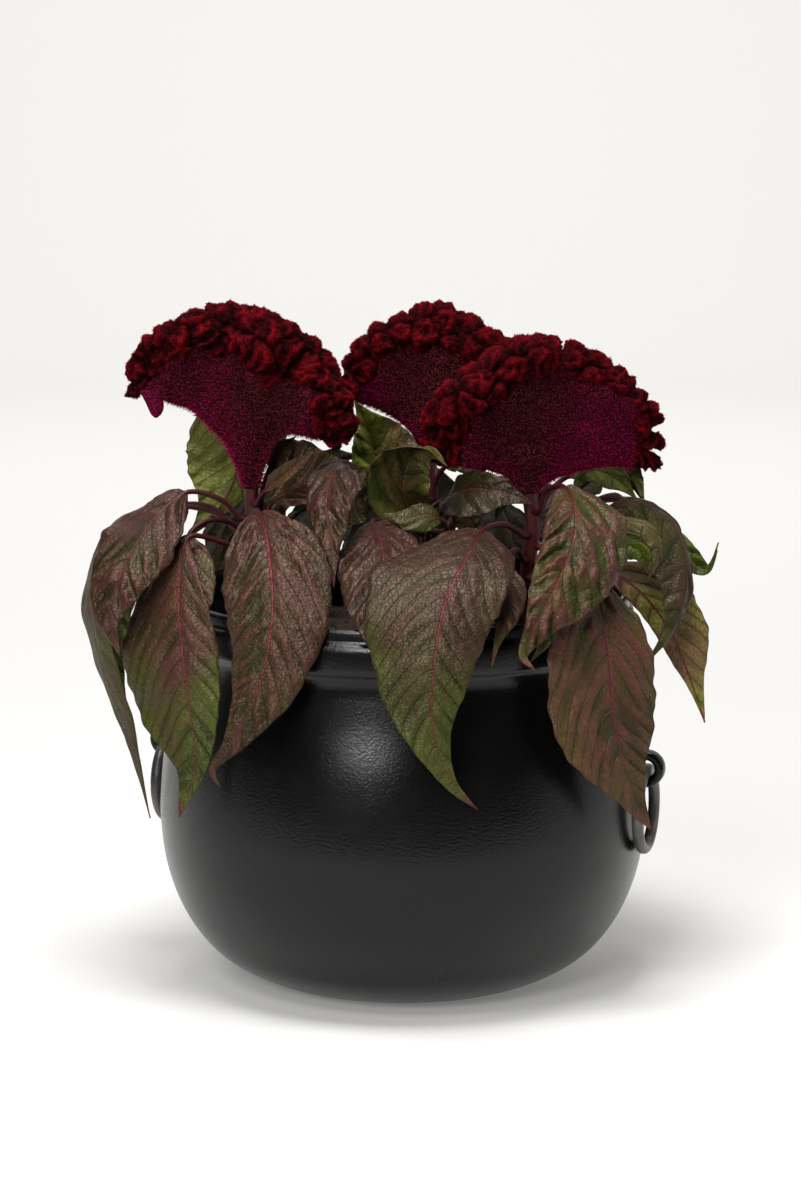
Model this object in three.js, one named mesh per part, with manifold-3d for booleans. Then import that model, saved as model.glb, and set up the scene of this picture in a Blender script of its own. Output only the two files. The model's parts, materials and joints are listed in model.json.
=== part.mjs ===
// Cockscomb celosia in a cauldron planter.
//
// Millimetres, +Z up. The origin is the middle of the pot's underside, +X is to the right and
// -Y is the front. The pot, its two hanging ring handles, the soil, three stems, three crested
// flower heads and every large leaf are solids of their own.

import * as THREE from 'three';
import { mergeVertices } from 'three/addons/utils/BufferGeometryUtils.js';
import Module from 'manifold-3d';

const wasm = await Module();
wasm.setup();

// ---------------------------------------------------------------- driving dimensions

const GAP = 0.3; // clearance between pieces that rest on each other

const POT = {
  sides: 40,
  wall: 3,
  floor: 4,
  baseRadius: 58,
  bellyRadius: 127,
  shoulderRadius: 116,
  shoulderHeight: 172,
  bandRadius: 120,
  bandBottom: 181,
  bandTop: 196,
  lipRadius: 117.5,
  lipHeight: 204,
  mouthRadius: 112,
};

const HANDLE = {
  turn: THREE.MathUtils.degToRad(-16), // the right handle's place round the pot
  reach: 130.2, // from the pot's axis to the eye's centre
  eyeHeight: 117,
  eyeRadius: 9.7,
  eyeHole: 4.6,
  eyeWidth: 8,
  ringHeight: 95.7, // centre of the hanging ring
  ringRadius: 20.5,
  ringTube: 3,
};

const SOIL = { height: 178, crown: 3, holeDepth: 26 };

const BLADE = {
  columns: 5, // points across one face
  petioleRings: 2,
  bladeRings: 8,
  edge: 0.4, // half thickness at the edge
  rib: 0.9, // half thickness at the midrib
  petiole: 1.5, // petiole radius
};

const CREST = {
  columns: 33, // points across one face
  stalkRadius: 4.2,
  flankDepth: 8, // half depth where the flank meets the crest
  rimDepth: 1.6, // half depth of the rim itself
  knobs: 9, // lobes along the crest
  knobHeight: 2.6,
  floretRelief: 0.7,
};

const COLOURS = {
  pot: 0x17181b,
  ring: 0x1b1c1f,
  soil: 0x2b211b,
  stem: 0x9c1f3c,
  head: 0x8e1430,
  leaf: 0x5a4a48,
};

// ---------------------------------------------------------------- solids from rings

// A ring is a list of 2n points: n on the upper face from left to right, then n on the lower
// face from right to left. The quads of both faces are split along the same diagonal, so a
// thin waved blade never crosses itself.
function loft(rings) {
  const count = rings[0].length;
  const half = count / 2;
  const positions = rings.flat().flatMap((point) => [point.x, point.y, point.z]);
  const index = [];
  const quad = (a, b, c, d) => index.push(a, b, c, a, c, d);
  for (let row = 0; row < rings.length - 1; row += 1) {
    for (let m = 0; m < count; m += 1) {
      const next = (m + 1) % count;
      const a = row * count + m;
      const b = row * count + next;
      const c = (row + 1) * count + next;
      const d = (row + 1) * count + m;
      if (m < half) {
        quad(a, b, c, d);
      } else {
        quad(b, c, d, a);
      }
    }
  }
  const last = (rings.length - 1) * count;
  for (let j = 0; j < half - 1; j += 1) {
    const low = count - 1 - j;
    quad(j, low, low - 1, j + 1);
    quad(last + j, last + j + 1, last + low - 1, last + low);
  }
  const geometry = new THREE.BufferGeometry();
  geometry.setAttribute('position', new THREE.Float32BufferAttribute(positions, 3));
  geometry.setIndex(index);
  return geometry;
}

function solidOf(geometry) {
  const bare = geometry.clone();
  bare.deleteAttribute('normal');
  bare.deleteAttribute('uv');
  const merged = mergeVertices(bare, 1e-4);
  return new wasm.Manifold(new wasm.Mesh({
    numProp: 3,
    vertProperties: new Float32Array(merged.attributes.position.array),
    triVerts: new Uint32Array(merged.index.array),
  }));
}

function geometryOf(solid) {
  const mesh = solid.getMesh();
  const geometry = new THREE.BufferGeometry();
  geometry.setAttribute('position', new THREE.Float32BufferAttribute(mesh.vertProperties, 3));
  geometry.setIndex(Array.from(mesh.triVerts));
  return geometry;
}

function named(name, geometry, colour, roughness) {
  const material = new THREE.MeshStandardMaterial({ color: colour, roughness, metalness: 0 });
  const mesh = new THREE.Mesh(geometry, material);
  mesh.name = name;
  return mesh;
}

// A lathe turned about +Z from [radius, height] pairs.
function lathe(profile, sides) {
  const points = profile.map(([radius, height]) => new THREE.Vector2(radius, height));
  return new THREE.LatheGeometry(points, sides).rotateX(Math.PI / 2);
}

// ---------------------------------------------------------------- pot, handles and soil

// The cauldron's outside from the base edge to the band: a full round belly that draws in to
// a short neck.
const POT_SIDE = [
  [POT.baseRadius, 0],
  [77, 4],
  [98.5, 16],
  [113.3, 34],
  [123.2, 58],
  [POT.bellyRadius, 84],
  [126.6, 104],
  [123.5, 130],
  [118.5, 155],
  [POT.shoulderRadius, POT.shoulderHeight],
];

const POT_INSIDE = [
  [POT.mouthRadius, POT.shoulderHeight],
  ...POT_SIDE.slice(2, -1).reverse().map(([radius, height]) => [radius - POT.wall, height + 1]),
  [76, POT.wall + 4],
];

function handleTurn(side) {
  return side === 'right' ? HANDLE.turn : HANDLE.turn + Math.PI;
}

// A cylinder whose axis lies along the pot's tangent at a handle.
function tangentCylinder(radius, length, side) {
  return new THREE.CylinderGeometry(radius, radius, length, 24)
    .translate(HANDLE.reach, 0, HANDLE.eyeHeight)
    .rotateZ(handleTurn(side));
}

function makePot() {
  const outside = [
    [0, 0],
    ...POT_SIDE,
    [POT.bandRadius, POT.bandBottom],
    [POT.bandRadius, POT.bandTop],
    [POT.lipRadius, POT.bandTop + 1],
    [POT.lipRadius, POT.lipHeight],
    [POT.mouthRadius, POT.lipHeight],
  ];
  const cavity = [...POT_INSIDE, [0, POT.floor]];
  let solid = solidOf(lathe([...outside, ...cavity], POT.sides));
  const filled = solidOf(lathe([...outside, [0, POT.lipHeight]], POT.sides));
  for (const side of ['left', 'right']) {
    const eye = solidOf(tangentCylinder(HANDLE.eyeRadius, HANDLE.eyeWidth, side));
    const hole = solidOf(tangentCylinder(HANDLE.eyeHole, 2 * HANDLE.eyeWidth, side));
    solid = solid.add(eye.subtract(filled)).subtract(hole);
  }
  return named('pot', geometryOf(solid), COLOURS.pot, 0.45);
}

function makeRing(side) {
  const geometry = new THREE.TorusGeometry(HANDLE.ringRadius, HANDLE.ringTube, 8, 24)
    .rotateX(Math.PI / 2)
    .rotateZ(Math.PI / 2)
    .translate(HANDLE.reach, 0, HANDLE.ringHeight)
    .rotateZ(handleTurn(side));
  return named(`ring_${side}`, geometry, COLOURS.ring, 0.45);
}

function makeSoil() {
  const side = POT_INSIDE.filter((point, i) => i === 0 || i % 2 === 1)
    .map(([radius, height]) => [radius - GAP, height])
    .reverse();
  const profile = [
    [0, POT.floor + GAP],
    ...side,
    [POT.mouthRadius - GAP, SOIL.height - 2],
    [70, SOIL.height],
    [0, SOIL.height + SOIL.crown],
  ];
  let solid = solidOf(lathe(profile, POT.sides));
  for (const stem of Object.values(STEMS)) {
    const foot = stem.path.points[0];
    const hole = new THREE.CylinderGeometry(stem.radius + 0.5, stem.radius + 0.5, 60, 12)
      .rotateX(Math.PI / 2)
      .translate(foot.x, foot.y, foot.z - GAP + 30);
    solid = solid.subtract(solidOf(hole));
  }
  return named('soil', geometryOf(solid), COLOURS.soil, 0.95);
}

// ---------------------------------------------------------------- stems

function curve(points) {
  return new THREE.CatmullRomCurve3(points.map((p) => new THREE.Vector3(...p)));
}

const FOOT = SOIL.height - SOIL.holeDepth;

const STEMS = {
  left: {
    radius: 3.6,
    path: curve([[-66, -24, FOOT], [-66, -24, 182], [-72, -26, 215], [-77, -30, 252], [-77, -31, 261.5]]),
  },
  middle: {
    radius: 4.2,
    path: curve([[12, 26, FOOT], [12, 26, 182], [13, 28, 220], [14, 30, 255], [14, 30, 269.5]]),
  },
  right: {
    radius: 4,
    path: curve([[62, -26, FOOT], [62, -26, 182], [63, -28, 212], [66, -33, 244], [64, -34, 259.5]]),
  },
};

// Where a stem's axis passes a height.
function stemAt(stem, height) {
  const steps = 60;
  for (let i = 1; i <= steps; i += 1) {
    const point = stem.path.getPoint(i / steps);
    if (point.z >= height) return point;
  }
  return stem.path.getPoint(1);
}

function makeStem(name) {
  const { path, radius } = STEMS[name];
  const rows = 7;
  const half = 5;
  const rings = [];
  for (let row = 0; row <= rows; row += 1) {
    const centre = path.getPoint(row / rows);
    const ring = [];
    for (let m = 0; m < 2 * half; m += 1) {
      const angle = Math.PI - ((m + 0.5) / half) * Math.PI;
      ring.push(new THREE.Vector3(
        centre.x + radius * Math.cos(angle),
        centre.y - radius * Math.sin(angle),
        centre.z,
      ));
    }
    rings.push(ring);
  }
  return named(`stem_${name}`, loft(rings), COLOURS.stem, 0.5);
}

// ---------------------------------------------------------------- flower heads

// A head is a fan. Rays leave the stalk upwards and bend outwards to the rim, a curve given as
// [x, y, z] points from its left end over the top to its right end. Above `crest` (the share of
// a ray at the left end, the middle and the right end) the flank swells into the crest, which
// is `depth` deep each way and swings through `waves` ruffles.
const HEADS = {
  left: {
    rim: [[-140, -30, 314], [-134, -28, 336], [-115, -32, 349], [-93, -34, 356], [-73, -34, 355],
      [-54, -36, 346], [-38, -40, 333], [-28, -44, 314], [-22, -46, 295], [-31, -48, 282]],
    lift: [[-20, 50], [-3, 46], [10, 42]],
    crest: [0.72, 0.66, 0.56],
    depth: 15,
    waves: 3.2,
  },
  middle: {
    rim: [[-31, 26, 300], [-31, 28, 319], [-18, 30, 337], [2, 31, 346], [20, 32, 350],
      [39, 31, 342], [54, 30, 333], [66, 30, 317], [68, 32, 298], [58, 34, 286]],
    lift: [[-12, 24], [0, 32], [12, 20]],
    crest: [0.74, 0.6, 0.72],
    depth: 14,
    waves: 2.6,
  },
  right: {
    rim: [[9, -40, 273], [10, -42, 297], [20, -42, 316], [39, -40, 329], [57, -38, 340],
      [76, -36, 340], [97, -35, 332], [117, -36, 318], [130, -37, 300], [132, -38, 272]],
    lift: [[-14, 15], [0, 34], [16, 17]],
    crest: [0.6, 0.7, 0.78],
    depth: 16,
    waves: 3.4,
  },
};

const HEAD_LEVELS = [0, 0.12, 0.26, 0.4, 0.52, 0.62, 0.7, 0.77, 0.83, 0.89, 0.94, 0.98, 1];

function ease(from, middle, to, u) {
  return u < 0.5 ? from + (middle - from) * 2 * u : middle + (to - middle) * (2 * u - 1);
}

function fanPoint(head, stalk, u, v) {
  const rim = head.rim.getPointAt(u);
  const [left, middle, right] = head.lift;
  const foot = stalk.clone();
  foot.x -= CREST.stalkRadius * Math.cos(Math.PI * u);
  const control = stalk.clone();
  control.x += ease(left[0], middle[0], right[0], u);
  control.z += ease(left[1], middle[1], right[1], u);
  return foot.multiplyScalar((1 - v) * (1 - v))
    .addScaledVector(control, 2 * v * (1 - v))
    .addScaledVector(rim, v * v);
}

// How far the front or back face stands off the fan, and how the crest's ruffles swing it.
function fanDepth(head, u, v) {
  const start = ease(...head.crest, u);
  const round = Math.sqrt(1 - Math.abs(2 * u - 1) ** 5);
  const edge = 0.25 + 0.75 * round;
  if (v < start) {
    const stalk = CREST.stalkRadius * Math.sin(Math.PI * (0.08 + 0.84 * u));
    const grown = v / start;
    return stalk * (1 - grown) + CREST.flankDepth * edge * grown;
  }
  const x = (v - start) / (1 - start);
  const swell = Math.sin(Math.PI * Math.min(1, 0.12 + x)) ** 0.6;
  return edge * (CREST.flankDepth * (1 - x) + head.depth * Math.max(0, swell)) + CREST.rimDepth * x;
}

function makeHead(name) {
  const head = { ...HEADS[name], rim: curve(HEADS[name].rim) };
  const stalk = STEMS[name].path.points.at(-1).clone();
  stalk.z += GAP;
  const rings = HEAD_LEVELS.map((v, row) => {
    const front = [];
    const back = [];
    for (let j = 0; j < CREST.columns; j += 1) {
      const u = j / (CREST.columns - 1);
      const start = ease(...head.crest, u);
      const inCrest = THREE.MathUtils.smoothstep(v, start - 0.1, start + 0.15);
      const swing = 5 * inCrest * Math.sin(2 * Math.PI * head.waves * u);
      const point = fanPoint(head, stalk, u, v);
      const ray = point.clone().sub(stalk).setY(0).normalize();
      for (const side of [-1, 1]) {
        const phase = 2 * Math.PI * CREST.knobs * u + side + 5 * v;
        const knob = CREST.knobHeight * inCrest * Math.sin(phase) * Math.cos(14 * v + side);
        const floret = v > 0.2 ? (1 - inCrest) * CREST.floretRelief * ((j + row) % 2) : 0;
        const surface = point.clone();
        surface.y += swing + side * (fanDepth(head, u, v) + knob + floret);
        surface.addScaledVector(ray, 0.6 * knob);
        (side < 0 ? front : back).push(surface);
      }
    }
    return [...front, ...back.reverse()];
  });
  return named(`head_${name}`, loft(rings), COLOURS.head, 0.85);
}

// ---------------------------------------------------------------- leaves

// One leaf: `stem` and `at` say where its petiole leaves, `spine` runs from the petiole to the
// tip, `blade` is the index of the spine point where the blade begins, `wide` the half widths to
// the left and right of the midrib seen along it from above, `face` the way its upper face
// looks at the base and at the tip, `fold` the angle of each half to a flat blade, `cup` the
// share of its width by which the edges rise, `wave` the same for its waved edge, `peak` where
// along the blade it is widest and `taper` how much narrower the blade's far end grows.
const LEAVES = {
  left_far: {
    stem: 'left', at: 234, spine: [[-98, -8, 246], [-127, 2, 247], [-152, 4, 236], [-163, 0, 206],
      [-158, -5, 172], [-144, -9, 132], [-132, -13, 85]],
    blade: 1, wide: [15, 15], face: [[-0.6, 0, 0.8], [-0.85, -0.6, 0.1]], fold: -8, cup: 0, wave: 0.06,
  },
  left_upper: {
    stem: 'left', at: 246, spine: [[-92, -35, 256], [-109, -40, 261], [-127, -56, 247], [-142, -72, 221],
      [-146, -80, 202], [-141, -83, 185]],
    blade: 1, wide: [20, 28], peak: 0.42, face: [[-0.2, -0.5, 0.8], [-0.5, -0.9, 0.2]],
    fold: -14, cup: -0.05, wave: 0.08,
  },
  left_front: {
    stem: 'left', at: 228, spine: [[-92, -44, 236], [-108, -54, 240], [-112, -68, 216], [-110, -79, 187],
      [-106, -85, 155], [-104, -88, 129], [-112, -90, 104]],
    blade: 1, wide: [19, 39], peak: 0.48, face: [[-0.4, -0.6, 0.7], [-0.4, -1, 0]],
    fold: -5, cup: -0.08, wave: 0.06,
  },
  left_between: {
    stem: 'left', at: 218, spine: [[-84, -26, 240], [-98, -36, 246], [-108, -44, 240], [-107, -53, 229],
      [-104, -68, 211], [-103, -78, 187]],
    blade: 2, wide: [12, 12], face: [[0, -0.5, 0.85], [0, -1, 0.2]], fold: -6, cup: 0, wave: 0.08,
  },
  left_centre: {
    stem: 'left', at: 239, spine: [[-76, -44, 250], [-72, -62, 254], [-66, -92, 238], [-64, -111, 209],
      [-71, -118, 175], [-84, -117, 148], [-94, -115, 134], [-90, -117, 126]],
    blade: 1, wide: [30, 27], peak: 0.35, taper: 0.45, face: [[-0.1, -0.5, 0.85], [-0.3, -1, 0.1]],
    fold: -6, cup: -0.1, wave: 0.06,
  },
  left_back: {
    stem: 'left', at: 232, spine: [[-80, -8, 272], [-80, 4, 285], [-83, 12, 281], [-87, 17, 264],
      [-96, 16, 245], [-112, 14, 229]],
    blade: 0, wide: [30, 12], peak: 0.45, face: [[0.1, 0.95, 0.3], [-0.1, 0.95, 0.2]],
    fold: 6, cup: 0.08, wave: 0.05,
  },
  left_inner: {
    stem: 'left', at: 243, spine: [[-68, -22, 252], [-61, -20, 257], [-50, -17, 262], [-37, -15, 268],
      [-26, -12, 272]],
    blade: 0, wide: [25, 15], peak: 0.5, face: [[0, -0.7, 0.7], [0, -0.9, 0.4]],
    fold: 10, cup: 0, wave: 0.1,
  },
  left_young: {
    stem: 'left', at: 254, spine: [[-70, -46, 262], [-61, -55, 271], [-50, -59, 280], [-43, -61, 286]],
    blade: 0, wide: [5, 5], face: [[0.2, -0.7, 0.7], [0, -1, 0.3]], fold: 20, cup: 0, wave: 0.1,
  },
  mid_tip_up: {
    stem: 'middle', at: 238, spine: [[2, 14, 246], [-9, 7, 252], [-13, 3, 270], [-18, 0, 288], [-25, -3, 303]],
    blade: 1, wide: [14, 24], face: [[0, -0.8, 0.6], [0, -1, 0.1]], fold: 8, cup: 0, wave: 0.08,
  },
  mid_arch: {
    stem: 'middle', at: 232, spine: [[-4, 4, 250], [-17, -20, 267], [-32, -43, 275], [-38, -66, 263],
      [-36, -86, 244], [-34, -98, 222]],
    blade: 1, wide: [17, 14], face: [[-0.2, -0.5, 0.85], [-0.3, -1, 0.1]], fold: -14, cup: 0, wave: 0.08,
  },
  mid_front: {
    stem: 'middle', at: 220, spine: [[-6, -10, 238], [-15, -45, 247], [-10, -81, 238], [-10, -108, 220],
      [-9, -126, 197], [-5, -131, 173]],
    blade: 1, wide: [20, 24], face: [[0, -0.5, 0.85], [0, -1, 0.05]], fold: -6, cup: -0.06, wave: 0.06,
  },
  rolled: {
    stem: 'middle', at: 224, spine: [[12, -14, 240], [6, -29, 246], [0, -35, 262], [5, -38, 279],
      [14, -45, 284], [22, -53, 276]],
    blade: 1, wide: [19, 18], face: [[0, -0.9, 0.3], [-0.4, -0.3, -0.8]], fold: 24, cup: 0.3, wave: 0.05,
  },
  mid_lip: {
    stem: 'middle', at: 230, spine: [[18, -10, 236], [22, -36, 241], [19, -53, 249], [13, -58, 252],
      [3, -62, 251], [-10, -60, 253]],
    blade: 2, wide: [9, 8], face: [[0, -0.8, 0.6], [0, -1, 0.4]], fold: -10, cup: 0, wave: 0.06,
  },
  right_shade: {
    stem: 'middle', at: 242, spine: [[15, 6, 246], [21, -20, 254], [30, -40, 262], [43, -51, 264],
      [55, -55, 262], [66, -56, 257]],
    blade: 1, wide: [10, 18], peak: 0.48, face: [[0, -0.8, 0.6], [0, -1, 0.25]], fold: 10, cup: 0, wave: 0.08,
  },
  front: {
    stem: 'right', at: 238, spine: [[52, -52, 246], [40, -74, 247], [31, -105, 238], [20, -128, 219],
      [15, -139, 192], [14, -142, 163], [23, -143, 135], [36, -144, 121]],
    blade: 1, wide: [27, 43], peak: 0.33, taper: 0.5, face: [[-0.1, -0.6, 0.8], [0.1, -1, 0]],
    fold: -6, cup: -0.1, wave: 0.08,
  },
  front_behind: {
    stem: 'right', at: 224, spine: [[58, -44, 232], [51, -62, 229], [53, -86, 220], [51, -106, 211],
      [46, -119, 199], [43, -124, 188]],
    blade: 1, wide: [9, 9], face: [[0.2, -0.6, 0.8], [0.2, -1, 0]], fold: -6, cup: 0, wave: 0.05,
  },
  right_centre: {
    stem: 'right', at: 250, spine: [[72, -46, 262], [80, -62, 267], [85, -84, 259], [83, -101, 244],
      [74, -112, 225], [64, -119, 206], [58, -122, 192], [64, -125, 186]],
    blade: 1, wide: [30, 16], face: [[0.1, -0.5, 0.85], [0.35, -1, 0.1]], fold: -8, cup: -0.1, wave: 0.1,
  },
  right_low: {
    stem: 'right', at: 222, spine: [[80, -42, 228], [93, -63, 224], [98, -83, 207], [102, -94, 183],
      [104, -97, 158], [110, -95, 132], [117, -91, 112], [124, -86, 97]],
    blade: 1, wide: [29, 38], peak: 0.47, face: [[0.3, -0.5, 0.8], [0.45, -0.9, 0.1]],
    fold: 0, cup: -0.04, wave: 0.06,
  },
  right_small: {
    stem: 'right', at: 216, spine: [[71, -82, 218], [71, -98, 208], [69, -108, 196], [62, -111, 187]],
    blade: 0, wide: [7, 8], face: [[0.2, -0.6, 0.8], [0, -1, 0.2]], fold: -20, cup: 0, wave: 0.05,
  },
  right_arch: {
    stem: 'right', at: 236, spine: [[82, -24, 246], [101, -21, 248], [119, -19, 253], [138, -22, 242],
      [145, -32, 217], [137, -45, 191], [123, -54, 175]],
    blade: 1, wide: [15, 20], face: [[0.3, -0.4, 0.9], [0.9, -0.6, 0.1]], fold: -28, cup: 0, wave: 0.08,
  },
  right_curl: {
    stem: 'right', at: 230, spine: [[84, -46, 234], [99, -53, 243], [111, -57, 248], [121, -61, 247],
      [127, -63, 239], [127, -64, 229], [122, -62, 218]],
    blade: 1, wide: [7, 7], face: [[0.2, -0.5, 0.8], [0.6, -0.8, 0.1]], fold: -30, cup: 0, wave: 0.06,
  },
  right_green: {
    stem: 'right', at: 208, spine: [[88, -33, 222], [102, -41, 228], [113, -43, 234], [120, -44, 231],
      [124, -44, 220]],
    blade: 1, wide: [10, 9], face: [[0, -0.8, 0.6], [0.2, -1, 0.1]], fold: 14, cup: 0, wave: 0.06,
  },
  right_pale: {
    stem: 'right', at: 214, spine: [[86, -16, 221], [101, -12, 218], [116, -20, 211], [128, -26, 200],
      [138, -27, 185], [145, -26, 169], [151, -24, 153], [156, -22, 138]],
    blade: 1, wide: [30, 9], face: [[0.3, -0.6, 0.7], [0.5, -0.85, 0]], fold: -4, cup: -0.06, wave: 0.06,
  },
  right_tip: {
    stem: 'right', at: 245, spine: [[82, -10, 247], [116, 8, 249], [134, 12, 232], [150, 11, 218],
      [159, 8, 213], [164, 4, 228]],
    blade: 1, wide: [9, 9], face: [[0.2, -0.3, 0.9], [-0.9, -0.4, 0.2]], fold: 10, cup: 0, wave: 0.05,
  },
  right_back: {
    stem: 'right', at: 248, spine: [[84, -12, 253], [97, 4, 261], [110, 12, 265], [120, 15, 259],
      [126, 12, 247]],
    blade: 0, wide: [15, 18], face: [[0, 0.8, 0.6], [0.3, 0.9, 0.4]], fold: 8, cup: 0, wave: 0.06,
  },
  back_left: {
    stem: 'left', at: 220, spine: [[-74, 6, 234], [-80, 42, 247], [-84, 74, 240], [-89, 100, 216],
      [-90, 117, 186], [-89, 122, 154]],
    blade: 1, wide: [27, 27], face: [[-0.3, 0.4, 0.9], [-0.5, 0.9, 0]], fold: -8, cup: -0.05, wave: 0.08,
  },
  back_mid_left: {
    stem: 'middle', at: 228, spine: [[-6, 46, 238], [-30, 70, 246], [-44, 96, 234], [-50, 117, 212],
      [-52, 126, 180]],
    blade: 1, wide: [22, 22], face: [[-0.3, 0.4, 0.9], [-0.3, 1, 0]], fold: -8, cup: -0.05, wave: 0.08,
  },
  back_high_left: {
    stem: 'middle', at: 246, spine: [[-2, 42, 258], [-18, 56, 266], [-36, 70, 262], [-50, 78, 250],
      [-60, 82, 236]],
    blade: 1, wide: [17, 17], face: [[-0.2, 0.3, 0.9], [-0.5, 0.7, 0.6]], fold: 8, cup: 0, wave: 0.08,
  },
  inner_left: {
    stem: 'left', at: 240, spine: [[-66, -6, 248], [-56, 16, 256], [-46, 36, 252], [-40, 52, 240],
      [-36, 62, 226]],
    blade: 1, wide: [17, 17], face: [[0.1, 0.3, 0.9], [0.4, 0.8, 0.4]], fold: -8, cup: 0, wave: 0.08,
  },
  side_left_back: {
    stem: 'left', at: 226, spine: [[-99, 6, 246], [-122, 20, 243], [-140, 26, 215], [-152, 22, 189],
      [-154, 15, 166], [-148, 9, 137], [-140, 5, 116]],
    blade: 1, wide: [15, 15], face: [[-0.4, 0.1, 0.9], [-0.7, -0.7, 0.1]], fold: -8, cup: -0.05, wave: 0.08,
  },
  back_centre: {
    stem: 'middle', at: 238, spine: [[12, 48, 250], [8, 76, 259], [6, 105, 245], [4, 128, 214],
      [2, 134, 184], [4, 138, 152]],
    blade: 1, wide: [28, 28], face: [[0, 0.4, 0.9], [0, 1, 0]], fold: -8, cup: -0.05, wave: 0.08,
  },
  back_mid_right: {
    stem: 'middle', at: 222, spine: [[26, 44, 234], [46, 70, 242], [56, 96, 230], [62, 114, 206],
      [64, 120, 176]],
    blade: 1, wide: [21, 21], face: [[0.3, 0.4, 0.9], [0.4, 0.9, 0]], fold: -8, cup: -0.05, wave: 0.08,
  },
  inner_right: {
    stem: 'right', at: 240, spine: [[68, -10, 249], [64, 14, 259], [58, 38, 258], [54, 58, 246],
      [50, 72, 230]],
    blade: 1, wide: [17, 17], face: [[-0.1, 0.3, 0.9], [-0.2, 0.8, 0.5]], fold: -8, cup: 0, wave: 0.08,
  },
  side_right_back: {
    stem: 'right', at: 232, spine: [[86, -4, 243], [112, 24, 250], [130, 41, 235], [139, 50, 208],
      [142, 54, 178]],
    blade: 1, wide: [20, 20], face: [[0.4, 0.2, 0.9], [0.9, 0.5, 0.1]], fold: -8, cup: -0.05, wave: 0.08,
  },
  back_right: {
    stem: 'right', at: 226, spine: [[72, 2, 240], [82, 44, 252], [91, 76, 240], [97, 99, 212],
      [99, 110, 182], [98, 114, 152]],
    blade: 1, wide: [27, 27], face: [[0.3, 0.4, 0.9], [0.6, 0.8, 0]], fold: -8, cup: -0.05, wave: 0.08,
  },
};

function bladeWidth(t, { peak = 0.38, taper = 0.3 }) {
  const bend = Math.log(0.5) / Math.log(peak);
  return Math.sin(Math.PI * t ** bend) ** 0.85 * (1 - taper * t * t);
}

function leafFrame(path, s, faces, t) {
  const tangent = path.getTangentAt(s);
  const face = faces[0].clone().lerp(faces[1], t);
  const normal = face.addScaledVector(tangent, -face.dot(tangent)).normalize();
  const side = new THREE.Vector3().crossVectors(tangent, normal);
  return { centre: path.getPointAt(s), normal, side };
}

function petioleRing({ centre, normal, side }, radius) {
  const count = BLADE.columns;
  const ring = [];
  for (let m = 0; m < 2 * count; m += 1) {
    const angle = Math.PI - ((m + 0.5) / count) * Math.PI;
    ring.push(centre.clone()
      .addScaledVector(side, radius * Math.cos(angle))
      .addScaledVector(normal, radius * Math.sin(angle)));
  }
  return ring;
}

function bladeRing({ centre, normal, side }, leaf, t) {
  const fold = THREE.MathUtils.degToRad(leaf.fold);
  const share = bladeWidth(t, leaf);
  const upper = [];
  const lower = [];
  for (let j = 0; j < BLADE.columns; j += 1) {
    const u = (2 * j) / (BLADE.columns - 1) - 1;
    const width = Math.max(1, share * leaf.wide[u < 0 ? 0 : 1]);
    const across = width * Math.abs(u);
    const ripple = leaf.wave * Math.sin(2 * Math.PI * 2.5 * t + 2 * u) * u * u;
    const rise = across * Math.sin(fold) + width * (leaf.cup * u * u + ripple);
    const thick = BLADE.rib + (BLADE.edge - BLADE.rib) * Math.abs(u);
    const point = centre.clone()
      .addScaledVector(side, Math.sign(u) * across * Math.cos(fold))
      .addScaledVector(normal, rise);
    upper.push(point.clone().addScaledVector(normal, thick));
    lower.push(point.clone().addScaledVector(normal, -thick));
  }
  return [...upper, ...lower.reverse()];
}

function makeLeaf(name) {
  const leaf = LEAVES[name];
  const stem = STEMS[leaf.stem];
  const root = stemAt(stem, leaf.at);
  const out = new THREE.Vector3(...leaf.spine[0]).sub(root).setZ(0).normalize();
  const start = root.clone().addScaledVector(out, stem.radius + GAP);
  const knee = start.clone().addScaledVector(out, 3);
  const path = curve([start.toArray(), knee.toArray(), ...leaf.spine]);
  const lengths = path.getLengths(400);
  const knots = leaf.spine.length + 1;
  const bladeStart = lengths[Math.round((400 * (leaf.blade + 2)) / knots)] / lengths.at(-1);
  const faces = leaf.face.map((f) => new THREE.Vector3(...f));
  const rings = [];
  for (let i = 0; i < BLADE.petioleRings; i += 1) {
    const s = (bladeStart * i) / BLADE.petioleRings;
    rings.push(petioleRing(leafFrame(path, s, faces, 0), BLADE.petiole));
  }
  rings.push(petioleRing(leafFrame(path, bladeStart, faces, 0), BLADE.petiole * 0.8));
  for (let i = 1; i <= BLADE.bladeRings; i += 1) {
    const t = (i / BLADE.bladeRings) ** 1.1;
    const s = bladeStart + (1 - bladeStart) * t;
    rings.push(bladeRing(leafFrame(path, s, faces, t), leaf, t));
  }
  return named(`leaf_${name}`, loft(rings), COLOURS.leaf, 0.5);
}

// ---------------------------------------------------------------- the plant in its pot

const group = new THREE.Group();
group.add(makePot(), makeRing('left'), makeRing('right'), makeSoil());
for (const name of Object.keys(STEMS)) {
  group.add(makeStem(name), makeHead(name));
}
for (const name of Object.keys(LEAVES)) {
  group.add(makeLeaf(name));
}

export default group;
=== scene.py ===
"""Cockscomb celosia growing in a small cauldron planter.

The planter and its two hanging ring handles, the compost, three ribbed stems, three crested
heads, thirty-five leaves and five small young ones are built here around the fixed frame of
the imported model. Sizes are in millimetres until a mesh is written, which is in metres: +Z is
up, -Y is the front and the origin is the middle of the planter's underside.
"""

from __future__ import annotations

import json
import logging
import math
from dataclasses import dataclass
from enum import Enum

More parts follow.
